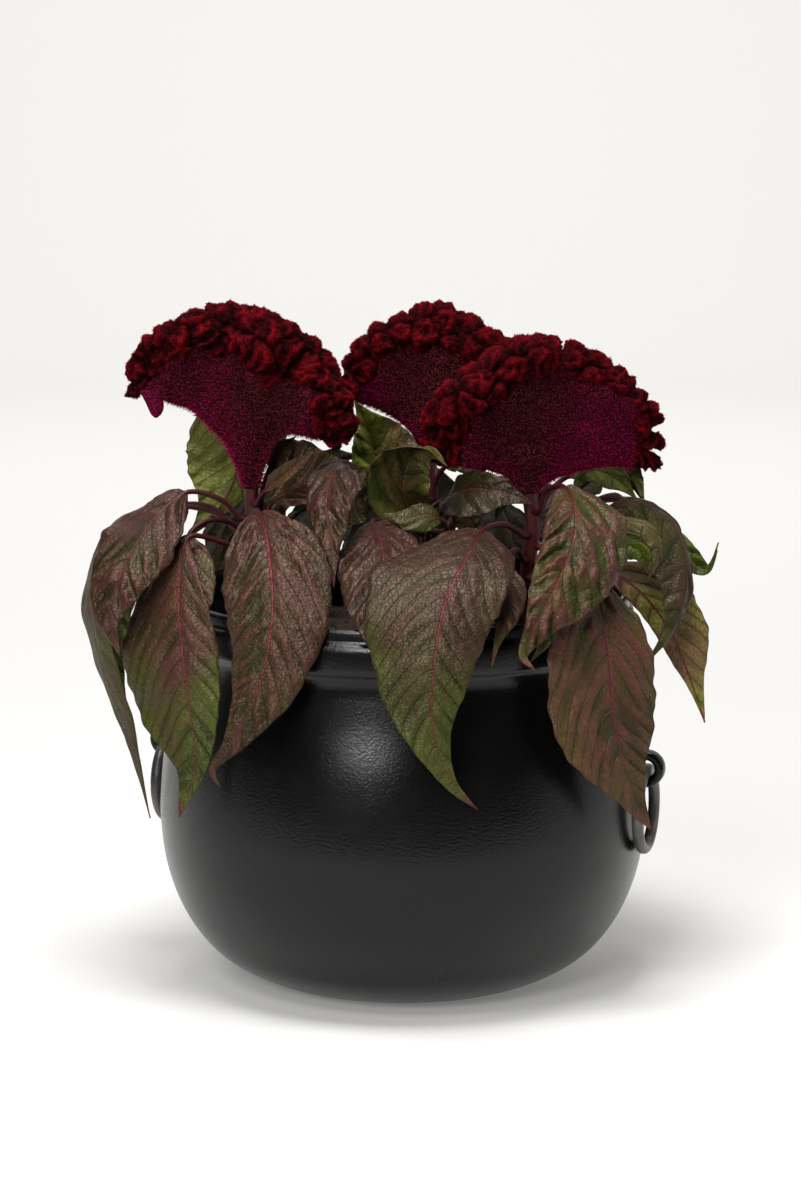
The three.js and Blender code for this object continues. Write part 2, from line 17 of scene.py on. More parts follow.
import bpy
import numpy as np
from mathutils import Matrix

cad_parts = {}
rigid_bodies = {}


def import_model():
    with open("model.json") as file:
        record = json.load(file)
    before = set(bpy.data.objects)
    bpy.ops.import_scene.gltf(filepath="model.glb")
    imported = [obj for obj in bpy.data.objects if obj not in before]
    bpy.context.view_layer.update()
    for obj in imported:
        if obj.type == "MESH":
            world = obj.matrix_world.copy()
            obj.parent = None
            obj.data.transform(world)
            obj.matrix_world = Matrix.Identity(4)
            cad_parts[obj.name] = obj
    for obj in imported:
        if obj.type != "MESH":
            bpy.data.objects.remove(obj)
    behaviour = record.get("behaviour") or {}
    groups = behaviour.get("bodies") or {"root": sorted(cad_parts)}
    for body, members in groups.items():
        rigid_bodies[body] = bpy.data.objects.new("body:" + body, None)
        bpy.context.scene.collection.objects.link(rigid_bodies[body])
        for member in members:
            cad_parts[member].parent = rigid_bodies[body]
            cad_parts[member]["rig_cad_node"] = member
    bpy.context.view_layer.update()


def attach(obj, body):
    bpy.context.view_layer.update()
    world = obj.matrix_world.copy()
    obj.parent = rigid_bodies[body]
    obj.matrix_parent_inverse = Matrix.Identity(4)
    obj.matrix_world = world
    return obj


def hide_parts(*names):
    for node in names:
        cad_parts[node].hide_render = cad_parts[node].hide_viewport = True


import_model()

LOG = logging.getLogger("celosia")
MM = 0.001

Array = np.ndarray
Triple = tuple[float, float, float]
Points = tuple[Triple, ...]


class Body(str, Enum):
    """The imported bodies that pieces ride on."""

    PLANTER = "planter"
    RING_LEFT = "ring_left"
    RING_RIGHT = "ring_right"


class Slot(str, Enum):
    """The record's material slots."""

    POT = "pot"
    RING = "ring"
    SOIL = "soil"
    STEM = "stem"
    HEAD = "head"
    LEAF = "leaf"


class Side(Enum):
    """Which of the two handles; the value is its turn round the planter in degrees."""

    LEFT = 164.0
    RIGHT = -16.0

    def place(self, out: Array, along: Array, up: Array) -> Array:
        """Turns distances into points.

        Args:
            out: How far from the planter's axis towards this handle, in mm.
            along: How far sideways, along the rim, in mm.
            up: How high, in mm.

        Returns:
            Positions, rows of three.
        """
        angle = math.radians(self.value)
        return np.stack([out * math.cos(angle) - along * math.sin(angle),
                         out * math.sin(angle) + along * math.cos(angle), up],
                        -1).reshape(-1, 3)


# ------------------------------------------------------------------------- small helpers


def srgb(code: str) -> tuple[float, float, float, float]:
    """Turns an sRGB hex colour such as "#5a4840" into linear RGBA.

    Args:
        code: A hash and six hex digits.

    Returns:
        Linear red, green and blue, and an alpha of one.
    """
    parts = [int(code[i:i + 2], 16) / 255 for i in (1, 3, 5)]
    linear = [c / 12.92 if c <= 0.04045 else ((c + 0.055) / 1.055) ** 2.4 for c in parts]
    return (linear[0], linear[1], linear[2], 1.0)


def colour(code: str) -> Array:
    """Returns a hex colour as a linear numpy RGBA row."""
    return np.array(srgb(code))


def smooth(value: Array | float, low: float, high: float) -> Array:
    """Eases from 0 at low to 1 at high.

    Args:
        value: Where to read the step.
        low: The value at which the step starts.
        high: The value at which it ends.

    Returns:
        The eased step, the shape of value.
    """
    x = np.clip((np.asarray(value, float) - low) / (high - low), 0, 1)
    return x * x * (3 - 2 * x)


def blend_rows(first: Array, second: Array, share: Array) -> Array:
    """Mixes two colours row by row: share 0 is the first and 1 the second."""
    share = np.asarray(share, float)[..., None]
    return first * (1 - share) + second * share


def drift(points: Array, size: float, seed: int) -> Array:
    """Gives a soft random field from sums of sine waves, the same at every run.

    Args:
        points: Positions in mm, shape (..., 3).
        size: The rough size of one patch in mm.
        seed: Picks the field.

    Returns:
        Values mostly within -1 to 1.
    """
    rng = np.random.default_rng(seed)
    total = np.zeros(points.shape[:-1])
    for _ in range(7):
        way = rng.normal(size=3)
        way *= 2 * math.pi / (size * rng.uniform(1.2, 2.8)) / np.linalg.norm(way)
        total += np.sin(points @ way + rng.uniform(0, 2 * math.pi))
    return total / 3.2


def wobble(points: Array, size: float, seed: int) -> Array:
    """Gives a soft random shift in all three directions, from three fields of drift."""
    return np.stack([drift(points, size, seed + k) for k in range(3)], -1)


def turns(count: int) -> Array:
    """Gives angles evenly round one full turn."""
    return np.linspace(0, 2 * math.pi, count, endpoint=False)


def unit(vectors: Array) -> Array:
    """Scales vectors to a length of one."""
    return vectors / np.maximum(np.linalg.norm(vectors, axis=-1, keepdims=True), 1e-9)


class Path:
    """A centripetal curve through points that is read by its share of the length."""

    def __init__(self, points: Points | list[Triple]) -> None:
        """Measures the curve.

        Args:
            points: The points it runs through, in mm.
        """
        self.points = np.array(points, float)
        self.shares = np.linspace(0, 1, 401)
        steps = np.diff(self.at(self.shares), axis=0)
        self.lengths = np.concatenate([[0], np.cumsum(np.linalg.norm(steps, axis=1))])

    def at(self, t: Array | float) -> Array:
        """Reads the curve by its parameter.

        Args:
            t: The parameter, 0 to 1, evenly split among the points.

        Returns:
            Positions, one row for each t.
        """
        t = np.atleast_1d(np.asarray(t, float))
        pts = self.points
        last = len(pts) - 1
        place = t * last
        index = np.clip(np.floor(place).astype(int), 0, last - 1)
        w = (place - index)[:, None]
        padded = np.vstack([2 * pts[0] - pts[1], pts, 2 * pts[-1] - pts[-2]])
        a, b, c, d = (padded[index + k] for k in range(4))

        def gap(p: Array, q: Array) -> Array:
            """Returns the root of the distance between rows."""
            return np.sqrt(np.linalg.norm(q - p, axis=1, keepdims=True))

        ab, bc, cd = gap(a, b), gap(b, c), gap(c, d)
        start = ((b - a) / ab - (c - a) / (ab + bc) + (c - b) / bc) * bc
        end = ((c - b) / bc - (d - b) / (bc + cd) + (d - c) / cd) * bc
        return (b + start * w + (3 * (c - b) - 2 * start - end) * w**2
                + (2 * (b - c) + start + end) * w**3)

    def share_to_t(self, s: Array | float) -> Array:
        """Turns shares of the length into parameters."""
        return np.interp(np.asarray(s, float) * self.lengths[-1], self.lengths, self.shares)

    def along(self, s: Array | float) -> Array:
        """Reads the curve by its share of the length, 0 to 1."""
        return self.at(self.share_to_t(s))

    def tangent(self, s: Array | float) -> Array:
        """Gives the curve's direction.

        Args:
            s: Shares of its length.

        Returns:
            Unit vectors, one row for each share.
        """
        t = np.atleast_1d(self.share_to_t(s))
        step = 1e-4
        return unit(self.at(np.minimum(1, t + step)) - self.at(np.maximum(0, t - step)))


def tube_faces(rings: int, count: int, first: int = 0) -> list[Array]:
    """Faces of a tube of closed rings with flat ends.

    Args:
        rings: How many rings there are.
        count: Points in each ring.
        first: The index of the first point.

    Returns:
        Quads of the wall, and triangles that fan over both ends.
    """
    r, m = np.meshgrid(np.arange(rings - 1), np.arange(count), indexing="ij")
    nxt = (m + 1) % count
    wall = np.stack([r * count + m, r * count + nxt, (r + 1) * count + nxt,
                     (r + 1) * count + m], -1).reshape(-1, 4)
    k = np.arange(1, count - 1)
    low = np.stack([0 * k, k + 1, k], -1)
    top = (rings - 1) * count + np.stack([0 * k, k, k + 1], -1)
    return [wall + first, np.vstack([low, top]) + first]


def torus_faces(around: int, across: int) -> Array:
    """Quads of a closed ring whose sections are closed too.

    Args:
        around: How many sections there are.
        across: Points in each section.

    Returns:
        The quads, rows of four.
    """
    r, m = np.meshgrid(np.arange(around), np.arange(across), indexing="ij")
    r2, m2 = (r + 1) % around, (m + 1) % across
    return np.stack([r * across + m, r2 * across + m, r2 * across + m2, r * across + m2],
                    -1).reshape(-1, 4)


def add_object(name: str, data: bpy.types.ID) -> bpy.types.Object:
    """Puts a mesh, a light or the camera into the scene as a new object."""
    thing = bpy.data.objects.new(name, data)
    bpy.context.scene.collection.objects.link(thing)
    return thing


def make_piece(name: str, points: Array, faces: list[Array], finish: bpy.types.Material,
               body: Body, node: str | None,
               looks: dict[str, Array] | None = None) -> None:
    """Writes a mesh, dresses it and ties it to the frame.

    Args:
        name: The piece's name.
        points: Its vertices in mm.
        faces: Arrays of vertex indices, each of one face size.
        finish: Its material.
        body: The body it rides on.
        node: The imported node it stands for, or None for a piece of its own.
        looks: Point attributes by name: rows of three or four numbers.
    """
    mesh = bpy.data.meshes.new(name)
    loops = np.concatenate([f.ravel() for f in faces]).astype(np.int32)
    sizes = np.concatenate([np.full(len(f), f.shape[1]) for f in faces])
    starts = np.concatenate([[0], np.cumsum(sizes)[:-1]]).astype(np.int32)
    mesh.vertices.add(len(points))
    mesh.vertices.foreach_set("co", (points * MM).astype(np.float32).ravel())
    mesh.loops.add(len(loops))
    mesh.loops.foreach_set("vertex_index", loops)
    mesh.polygons.add(len(sizes))
    mesh.polygons.foreach_set("loop_start", starts)
    mesh.update(calc_edges=True)
    mesh.shade_smooth()
    kinds = {3: ("FLOAT_VECTOR", "vector"), 4: ("FLOAT_COLOR", "color")}
    for key, rows in (looks or {}).items():
        kind, field_name = kinds[rows.shape[1]]
        layer = mesh.attributes.new(key, kind, "POINT")
        layer.data.foreach_set(field_name, rows.astype(np.float32).ravel())
    mesh.materials.append(finish)
    piece = add_object(name, mesh)
    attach(piece, body.value)
    if node:
        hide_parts(node)
    LOG.info("%s: %d triangles, rides on %s", name, np.sum(sizes - 2), body.value)


# ------------------------------------------------------------------------------ finishes


MIX_FACTOR, MIX_A, MIX_B, MIX_OUT = 0, 6, 7, 2  # the colour sockets of the Mix node


def connect(tree: bpy.types.NodeTree, node: bpy.types.Node, sockets: dict) -> None:
    """Fills a node's sockets.

    Args:
        tree: The material's node tree.
        node: The node.
        sockets: By name or number, a plain value or a socket to link from.
    """
    for key, value in sockets.items():
        if isinstance(value, bpy.types.NodeSocket):
            tree.links.new(value, node.inputs[key])
        else:
            node.inputs[key].default_value = value


def add_node(tree: bpy.types.NodeTree, kind: str, sockets: dict | None = None,
             **settings: str) -> bpy.types.Node:
    """Adds a shader node with its settings and its links.

    Args:
        tree: The material's node tree.
        kind: The node's type name after "ShaderNode".
        sockets: Its sockets' values and links, as connect takes them.
        settings: Its properties.

    Returns:
        The new node.
    """
    node = tree.nodes.new("ShaderNode" + kind)
    for key, value in settings.items():
        setattr(node, key, value)
    connect(tree, node, sockets or {})
    return node


def new_surface(name: str) -> tuple[bpy.types.Material, bpy.types.NodeTree, bpy.types.Node]:
    """Starts a material.

    Args:
        name: The finish's name.

    Returns:
        The material, its tree and its surface shader.
    """
    material = bpy.data.materials.new(name)
    material.use_nodes = True
    tree = material.node_tree
    return material, tree, tree.nodes["Principled BSDF"]


def per_metre(size_mm: float) -> float:
    """Turns a pattern size in mm into a texture scale in metres."""
    return 1 / (size_mm * MM)


@dataclass(frozen=True)
class MouldedPolypropylene:
    """Black polypropylene, injection moulded in a lightly sparked tool: nearly black, with a
    broad satin gleam that its orange-peel grain breaks up."""

    name: str
    base: str = "#040404"
    scuffed: str = "#070606"
    roughness: tuple[float, float] = (0.21, 0.28)
    specular: float = 0.3
    ior: float = 1.49  # polypropylene
    grain_mm: float = 1.2  # moulding grain; the real one is nearer 0.5, too fine to show
    grain_depth_mm: float = 0.25
    scuff_mm: float = 38.0  # patches where hands have dulled it

    def material(self) -> bpy.types.Material:
        """Builds the finish."""
        material, tree, shader = new_surface(self.name)
        place = add_node(tree, "TexCoord").outputs["Object"]
        grain = add_node(tree, "TexNoise", {
            "Vector": place, "Scale": per_metre(self.grain_mm), "Detail": 3.0,
            "Roughness": 0.55})
        scuff = add_node(tree, "TexNoise", {
            "Vector": place, "Scale": per_metre(self.scuff_mm), "Detail": 4.0,
            "Roughness": 0.6}).outputs["Fac"]
        worn = add_node(tree, "MapRange", {
            "Value": scuff, "From Min": 0.42, "From Max": 0.75})
        tone = add_node(tree, "Mix", {
            MIX_FACTOR: worn.outputs["Result"], MIX_A: srgb(self.base),
            MIX_B: srgb(self.scuffed)}, data_type="RGBA")
        rough = add_node(tree, "MapRange", {
            "Value": scuff, "From Min": 0.3, "From Max": 0.7,
            "To Min": self.roughness[0], "To Max": self.roughness[1]})
        relief = add_node(tree, "Bump", {
            "Strength": 0.5, "Distance": self.grain_depth_mm * MM,
            "Height": grain.outputs["Fac"]})
        connect(tree, shader, {
            "Base Color": tone.outputs[MIX_OUT], "Roughness": rough.outputs["Result"],
            "Normal": relief.outputs["Normal"], "IOR": self.ior,
            "Specular IOR Level": self.specular})
        return material


@dataclass(frozen=True)
class MoistCompost:
    """Moist peat compost, loose and crumbly: dark brown crumbs with paler dry fibres."""

    wet: str = "#1d140f"
    dry: str = "#3d2c20"
    crumb_mm: float = 2.2
    crumb_depth_mm: float = 0.8
    fibre_mm: float = 0.9
    roughness: float = 0.92

    def material(self) -> bpy.types.Material:
        """Builds the finish."""
        material, tree, shader = new_surface("moist_peat_compost")
        place = add_node(tree, "TexCoord").outputs["Object"]
        crumbs = add_node(tree, "TexVoronoi", {
            "Vector": place, "Scale": per_metre(self.crumb_mm)})
        fibres = add_node(tree, "TexNoise", {
            "Vector": place, "Scale": per_metre(self.fibre_mm), "Detail": 5.0})
        tone = add_node(tree, "Mix", {
            MIX_FACTOR: fibres.outputs["Fac"], MIX_A: srgb(self.wet), MIX_B: srgb(self.dry)},
            data_type="RGBA")
        relief = add_node(tree, "Bump", {
            "Strength": 0.8, "Distance": self.crumb_depth_mm * MM,
            "Height": crumbs.outputs["Distance"]})
        connect(tree, shader, {
            "Base Color": tone.outputs[MIX_OUT], "Normal": relief.outputs["Normal"],
            "Roughness": self.roughness})
        return material


@dataclass(frozen=True)
class PlumeVelvet:
    """Living florets packed like velvet pile: matt dark red, with painted shade in the folds and
    painted highlights on the lobes' tops.
    """

    # The crevice colour is painted shade in the crest's folds, and the crest top colour is a
    # painted highlight on its knobs.
    crevice_painted_shade: str = "#0c0001"
    crest: str = "#350207"
    crest_top_painted_highlight: str = "#5a040a"
    # The crest tip colour is a painted highlight for the florets' ends on the knobs.
    crest_tip_painted_highlight: str = "#860b11"
    flank: str = "#1e0508"
    flank_edge: str = "#2e0514"
    speck: str = "#8a3c3e"
    magenta: str = "#b01656"
    bloom: str = "#c00f22"
    pile_mm: float = 1.1
    pile_depth_mm: float = 0.3
    roughness: float = 0.85
    specular: float = 0.03
    sheen: float = 0.25
    sheen_roughness: float = 0.35

    def material(self) -> bpy.types.Material:
        """Builds the finish, which reads the florets' colour from the mesh."""
        material, tree, shader = new_surface("floret_velvet")
        tint = add_node(tree, "Attribute", attribute_name="tint")
        place = add_node(tree, "TexCoord").outputs["Object"]
        pile = add_node(tree, "TexNoise", {
            "Vector": place, "Scale": per_metre(self.pile_mm), "Detail": 3.0})
        shade = add_node(tree, "MapRange", {
            "Value": pile.outputs["Fac"], "From Min": 0.35, "From Max": 0.68,
            "To Min": 0.3, "To Max": 1.55})
        tone = add_node(tree, "Mix", {
            MIX_FACTOR: 1.0, MIX_A: tint.outputs["Color"], MIX_B: shade.outputs["Result"]},
            data_type="RGBA", blend_type="MULTIPLY")
        relief = add_node(tree, "Bump", {
            "Strength": 0.7, "Distance": self.pile_depth_mm * MM,
            "Height": pile.outputs["Fac"]})
        connect(tree, shader, {
            "Base Color": tone.outputs[MIX_OUT], "Normal": relief.outputs["Normal"],
            "Roughness": self.roughness, "Specular IOR Level": self.specular,
            "Sheen Weight": self.sheen, "Sheen Roughness": self.sheen_roughness,
            "Sheen Tint": srgb(self.bloom)})
        return material


@dataclass(frozen=True)
class CrimsonStem:
    """A living celosia stem: ribbed, waxy, crimson with thin green streaks along the ribs."""

    crimson: str = "#3e0a15"
    green: str = "#302f16"
    streak_mm: float = 1.6
    streak_depth_mm: float = 0.2
    stretch: float = 0.06  # how far the streaks are drawn out upwards
    roughness: float = 0.42
    specular: float = 0.3

    def material(self) -> bpy.types.Material:
        """Builds the finish."""
        material, tree, shader = new_surface("waxy_crimson_stem")
        place = add_node(tree, "TexCoord").outputs["Object"]
        long = add_node(tree, "Mapping", {
            "Vector": place, "Scale": (1.0, 1.0, self.stretch)}, vector_type="POINT")
        streak = add_node(tree, "TexNoise", {
            "Vector": long.outputs["Vector"], "Scale": per_metre(self.streak_mm),
            "Detail": 3.0})
        share = add_node(tree, "MapRange", {
            "Value": streak.outputs["Fac"], "From Min": 0.52, "From Max": 0.7,
            "To Max": 0.7})
        tone = add_node(tree, "Mix", {
            MIX_FACTOR: share.outputs["Result"], MIX_A: srgb(self.crimson),
            MIX_B: srgb(self.green)}, data_type="RGBA")
        relief = add_node(tree, "Bump", {
            "Strength": 0.5, "Distance": self.streak_depth_mm * MM,
            "Height": streak.outputs["Fac"]})
        connect(tree, shader, {
            "Base Color": tone.outputs[MIX_OUT], "Normal": relief.outputs["Normal"],
            "Roughness": self.roughness, "Specular IOR Level": self.specular})
        return material


@dataclass(frozen=True)
class BronzeLeafSkin:
    """A living leaf: waxy satin over a quilt of veins, bronze that turns green at the tip."""

    bronze: str = "#3a2017"
    plum: str = "#38181b"
    green: str = "#46590e"
    deep_green: str = "#2b3809"
    dry: str = "#4c2c1e"
    under: str = "#474420"
    petiole: str = "#30070f"
    midrib: str = "#521520"
    vein: str = "#2b1512"
    gleam: str = "#ffe3d0"
    roughness: tuple[float, float] = (0.39, 0.55)
    ior: float = 1.42  # leaf wax
    specular: float = 0.42
    net_mm: float = 2.4  # the smallest net of veins that still shows
    pucker_mm: float = 4.2  # the skin puckers between the smaller veins
    flecks: float = 0.45  # paler and darker flecks of the skin in a mm
    relief_mm: float = 0.6

    def material(self) -> bpy.types.Material:
        """Builds the finish, which draws the veins from the leaf's own millimetres."""
        material, tree, shader = new_surface("bronze_leaf_skin")
        tint, blade, looks = (add_node(tree, "Attribute", attribute_name=name)
                              for name in ("tint", "blade_mm", "leaf_look"))
        _, across, phase = add_node(tree, "SeparateXYZ", {0: blade.outputs["Vector"]}).outputs
        along, pink, on_blade = add_node(tree, "SeparateXYZ", {0: looks.outputs["Vector"]}).outputs
        made = {"spot": blade.outputs["Vector"], "across": across, "phase": phase,
                "along": along, "pink": pink, "on_blade": on_blade}
        times, times_plus = {"operation": "MULTIPLY"}, {"operation": "MULTIPLY_ADD"}
        eased = {"interpolation_type": "SMOOTHSTEP"}
        # One row for each node: its result's name, its kind, its sockets and its settings.
        for name, kind, sockets, settings in (
                ("flushed", "Math", {0: "pink", 1: 1.0},
                 {"operation": "SUBTRACT", "use_clamp": True}),
                ("gap", "Math", {0: "phase", 1: 0.5}, {"operation": "PINGPONG"}),
                ("breadth", "Math", {0: "flushed", 1: 0.8, 2: 1.0}, times_plus),
                ("distance", "Math", {0: "gap", 1: "breadth"}, {"operation": "DIVIDE"}),
                ("lateral", "MapRange", {"Value": "distance", "From Min": 0.012,
                                         "From Max": 0.055, "To Min": 1.0, "To Max": 0.0}, eased),
                ("out", "Math", {0: "across"}, {"operation": "ABSOLUTE"}),
                ("slimmer", "Math", {0: "along", 1: -0.65, 2: 1.0}, times_plus),
                ("slim", "Math", {0: "out", 1: "slimmer"}, {"operation": "DIVIDE"}),
                ("rib", "MapRange", {"Value": "slim", "From Min": 0.55, "From Max": 1.15,
                                     "To Min": 1.0, "To Max": 0.0}, eased),
                ("rib_here", "Math", {0: "rib", 1: "on_blade"}, times),
                ("rib_share", "Math", {0: "rib_here", 1: "pink"}, times),
                ("net", "TexVoronoi", {"Vector": "spot", "Scale": 1 / self.net_mm},
                 {"feature": "DISTANCE_TO_EDGE"}),
                ("mesh", "MapRange", {"Value": "net", "From Max": 0.16}, {}),
                ("fleck", "TexNoise", {"Vector": "spot", "Scale": self.flecks, "Detail": 5.0,
                                       "Roughness": 0.65}, {}),
                ("mottle", "MapRange", {"Value": "fleck", "From Min": 0.3, "From Max": 0.7,
                                        "To Min": 0.72, "To Max": 1.25}, {}),
                ("paler", "Math", {0: "mesh", 1: 0.24, 2: 0.78}, times_plus),
                ("speckle", "Math", {0: "mottle", 1: "paler"}, times),
                ("side_here", "Math", {0: "lateral", 1: "on_blade"}, times),
                ("strength", "Math", {0: "flushed", 1: 0.45, 2: 0.42}, times_plus),
                ("side_share", "Math", {0: "side_here", 1: "strength"}, times),
                ("thread", "Math", {0: "mesh", 1: -0.5, 2: 0.5}, times_plus),
                ("flushed_here", "Math", {0: "flushed", 1: "on_blade"}, times),
                ("fine_share", "Math", {0: "thread", 1: "flushed_here"}, times),
                ("vein_share", "Math", {0: "side_share", 1: "fine_share"},
                 {"operation": "MAXIMUM"}),
                ("pucker", "TexNoise", {"Vector": "spot", "Scale": 1 / self.pucker_mm,
                                        "Detail": 2.0, "Roughness": 0.5}, {}),
                ("mesh_height", "Math", {0: "mesh", 1: 0.3}, times),
                ("side_height", "Math", {0: "lateral", 1: -0.8, 2: "mesh_height"}, times_plus),
                ("rib_height", "Math", {0: "rib", 1: -0.9, 2: "side_height"}, times_plus),
                ("height", "Math", {0: "pucker", 1: 1.1, 2: "rib_height"}, times_plus),
                ("rough", "MapRange", {"Value": "fleck", "From Min": 0.3, "From Max": 0.7,
                                       "To Min": self.roughness[0],
                                       "To Max": self.roughness[1]}, {})):
            feeds = {key: made[value] if isinstance(value, str) else value
                     for key, value in sockets.items()}
            made[name] = add_node(tree, kind, feeds, **settings).outputs[0]
        skin = add_node(tree, "Mix", {
            MIX_FACTOR: 1.0, MIX_A: tint.outputs["Color"], MIX_B: made["speckle"]},
            data_type="RGBA", blend_type="MULTIPLY")
        vein = add_node(tree, "Mix", {
            MIX_FACTOR: made["flushed"], MIX_A: srgb(self.vein), MIX_B: srgb(self.midrib)},
            data_type="RGBA")
        veined = add_node(tree, "Mix", {
            MIX_FACTOR: made["vein_share"], MIX_A: skin.outputs[MIX_OUT],
            MIX_B: vein.outputs[MIX_OUT]}, data_type="RGBA")
        ribbed = add_node(tree, "Mix", {
            MIX_FACTOR: made["rib_share"], MIX_A: veined.outputs[MIX_OUT],
            MIX_B: srgb(self.midrib)}, data_type="RGBA")
        relief = add_node(tree, "Bump", {
            "Strength": 0.8, "Distance": self.relief_mm * MM, "Height": made["height"]})
        connect(tree, shader, {
            "Base Color": ribbed.outputs[MIX_OUT], "Roughness": made["rough"],
            "Normal": relief.outputs["Normal"], "IOR": self.ior,
            "Specular IOR Level": self.specular, "Specular Tint": srgb(self.gleam)})
        return material


@dataclass(frozen=True)
class SeamlessPaper:
    """Matt white background paper, evenly lit: no gloss and no grain that shows."""

    white: str = "#bfbebc"
    glow: float = 0.3
    tooth_mm: float = 3.0
    tooth_depth_mm: float = 0.05
    roughness: float = 0.95
    specular: float = 0.05

    def material(self) -> bpy.types.Material:
        """Builds the finish."""
        material, tree, shader = new_surface("seamless_white_paper")
        place = add_node(tree, "TexCoord").outputs["Object"]
        tooth = add_node(tree, "TexNoise", {
            "Vector": place, "Scale": per_metre(self.tooth_mm), "Detail": 2.0})
        relief = add_node(tree, "Bump", {
            "Strength": 0.05, "Distance": self.tooth_depth_mm * MM,
            "Height": tooth.outputs["Fac"]})
        connect(tree, shader, {
            "Normal": relief.outputs["Normal"], "Base Color": srgb(self.white),
            "Roughness": self.roughness, "Specular IOR Level": self.specular,
            "Emission Color": srgb(self.white), "Emission Strength": self.glow})
        return material


# ------------------------------------------------------------------- planter and handles


@dataclass
class CauldronPlanter:
    """The planter: a full round belly, a short neck, a rolled band and a thin upright lip."""

    finish: bpy.types.Material
    sides: int = 168
    wall: float = 3.0
    reach: float = 130.2  # from the planter's axis to the middle of an eye
    eye_height: float = 117.0
    eye_radius: float = 9.7
    eye_hole: float = 4.6
    eye_width: float = 8.0
    eye_corner: float = 0.55  # the lower, the squarer its section
    eye_sunk: float = 1.6  # how far it reaches into the wall
    side: Points = ((58, 0), (77, 4), (98.5, 16), (113.3, 34), (123.2, 58), (127, 84),
                    (126.6, 104), (123.5, 130), (118.5, 155), (116, 172))

    def profile(self) -> Array:
        """Gives the whole outline.

        Returns:
            Rows of radius and height, from the middle of the underside round the outside and
            the lip to the middle of the inside floor.
        """
        belly = Path([(r, z, 0) for r, z in self.side]).along(np.linspace(0, 1, 56))[:, :2]
        foot = [(0, 0), (40, 0), (55, 0)]
        neck = [(116.0, 174.5), (116.3, 177.5), (117.4, 179.8), (119.0, 181.1), (119.8, 182.6),
                (120.1, 184.6), (120.1, 192.6), (119.9, 194.4), (119.3, 195.8), (118.3, 196.5),
                (117.5, 197.2), (117.4, 198.4), (117.5, 201.8), (117.2, 203.0), (116.4, 203.8),
                (115.2, 204.0), (113.6, 203.8), (112.6, 203.0), (112.2, 201.6), (112.0, 186),
                (112.0, 172.5)]
        inner = [(r - self.wall, z + 1) for r, z in belly[-3:6:-6]]
        return np.array([*foot, *belly, *neck, *inner, (76, 7), (40, 4), (0, 4)], float)

    def shell(self) -> tuple[Array, list[Array]]:
        """Turns the outline about the planter's axis.

        Returns:
            The shell's points and faces, closed at both ends of the outline.
        """
        outline = self.profile()[1:-1]
        turn = turns(self.sides)
        ring = np.stack([np.cos(turn), np.sin(turn)], -1)
        points = np.concatenate([
            np.column_stack([r * ring, np.full(self.sides, z)]) for r, z in outline])
        return points, tube_faces(len(outline), self.sides)

    def eye(self, side: Side, first: int) -> tuple[Array, list[Array]]:
        """Builds one rounded lug whose hole lies along the planter's rim.

        Args:
            side: Which handle it carries.
            first: The index of its first point.

        Returns:
            The lug's points and faces.
        """
        half, mean = self.eye_width / 2, (self.eye_radius + self.eye_hole) / 2
        thick = (self.eye_radius - self.eye_hole) / 2
        around, across = 72, 24
        turn = turns(around)[:, None]
        bend = turns(across)[None, :]

        def rounded(wave: Array) -> Array:
            """Squares a sine off, so the section is a box with rounded corners."""
            return np.sign(wave) * np.abs(wave) ** self.eye_corner

        radius = mean + thick * rounded(np.cos(bend))
        out = self.reach + radius * np.cos(turn)
        up = self.eye_height + radius * np.sin(turn)
        along = half * rounded(np.sin(bend)) + 0 * turn
        out = np.maximum(out, self.wall_radius(up) - self.eye_sunk)
        return side.place(out, along, up), [torus_faces(around, across) + first]

    def wall_radius(self, height: Array) -> Array:
        """Reads the outside radius at heights."""
        belly = np.array(self.side, float)
        return np.interp(height, belly[:, 1], belly[:, 0])

    def build(self) -> None:
        """Builds the planter with both eyes."""
        points, faces = self.shell()
        for side in Side:
            more, quads = self.eye(side, len(points))
            points = np.vstack([points, more])
            faces += quads
        make_piece("cauldron_planter", points, faces, self.finish, Body.PLANTER, "pot")


@dataclass
class RingHandle:
    """A loose ring that hangs in its eye and swings out from the planter's side."""

    side: Side
    finish: bpy.types.Material
    reach: float = 130.2
    height: float = 95.7
    radius: float = 20.5
    tube: float = 3.0
    seam_depth: float = 0.03  # as a share of the tube
    seam_width: float = 0.16

    def build(self) -> None:
        """Builds the ring with a faint flat moulding line round its middle."""
        around, across = 112, 20
        turn = turns(around)[:, None]
        bend = turns(across)[None, :]
        seam = 1 - self.seam_depth * np.exp(-((np.abs(np.sin(bend)) / self.seam_width) ** 2))
        radius = self.radius + self.tube * seam * np.cos(bend)
        along = radius * np.cos(turn)
        up = self.height + radius * np.sin(turn)
        out = self.reach + self.tube * np.sin(bend) + 0 * turn
        quads = torus_faces(around, across)[:, [0, 3, 2, 1]]  # the section turns the other way
        node = f"ring_{self.side.name.lower()}"
        make_piece(f"{node}_handle", self.side.place(out, along, up), [quads], self.finish,
                   Body(node), node)


# ------------------------------------------------------------------------------- compost


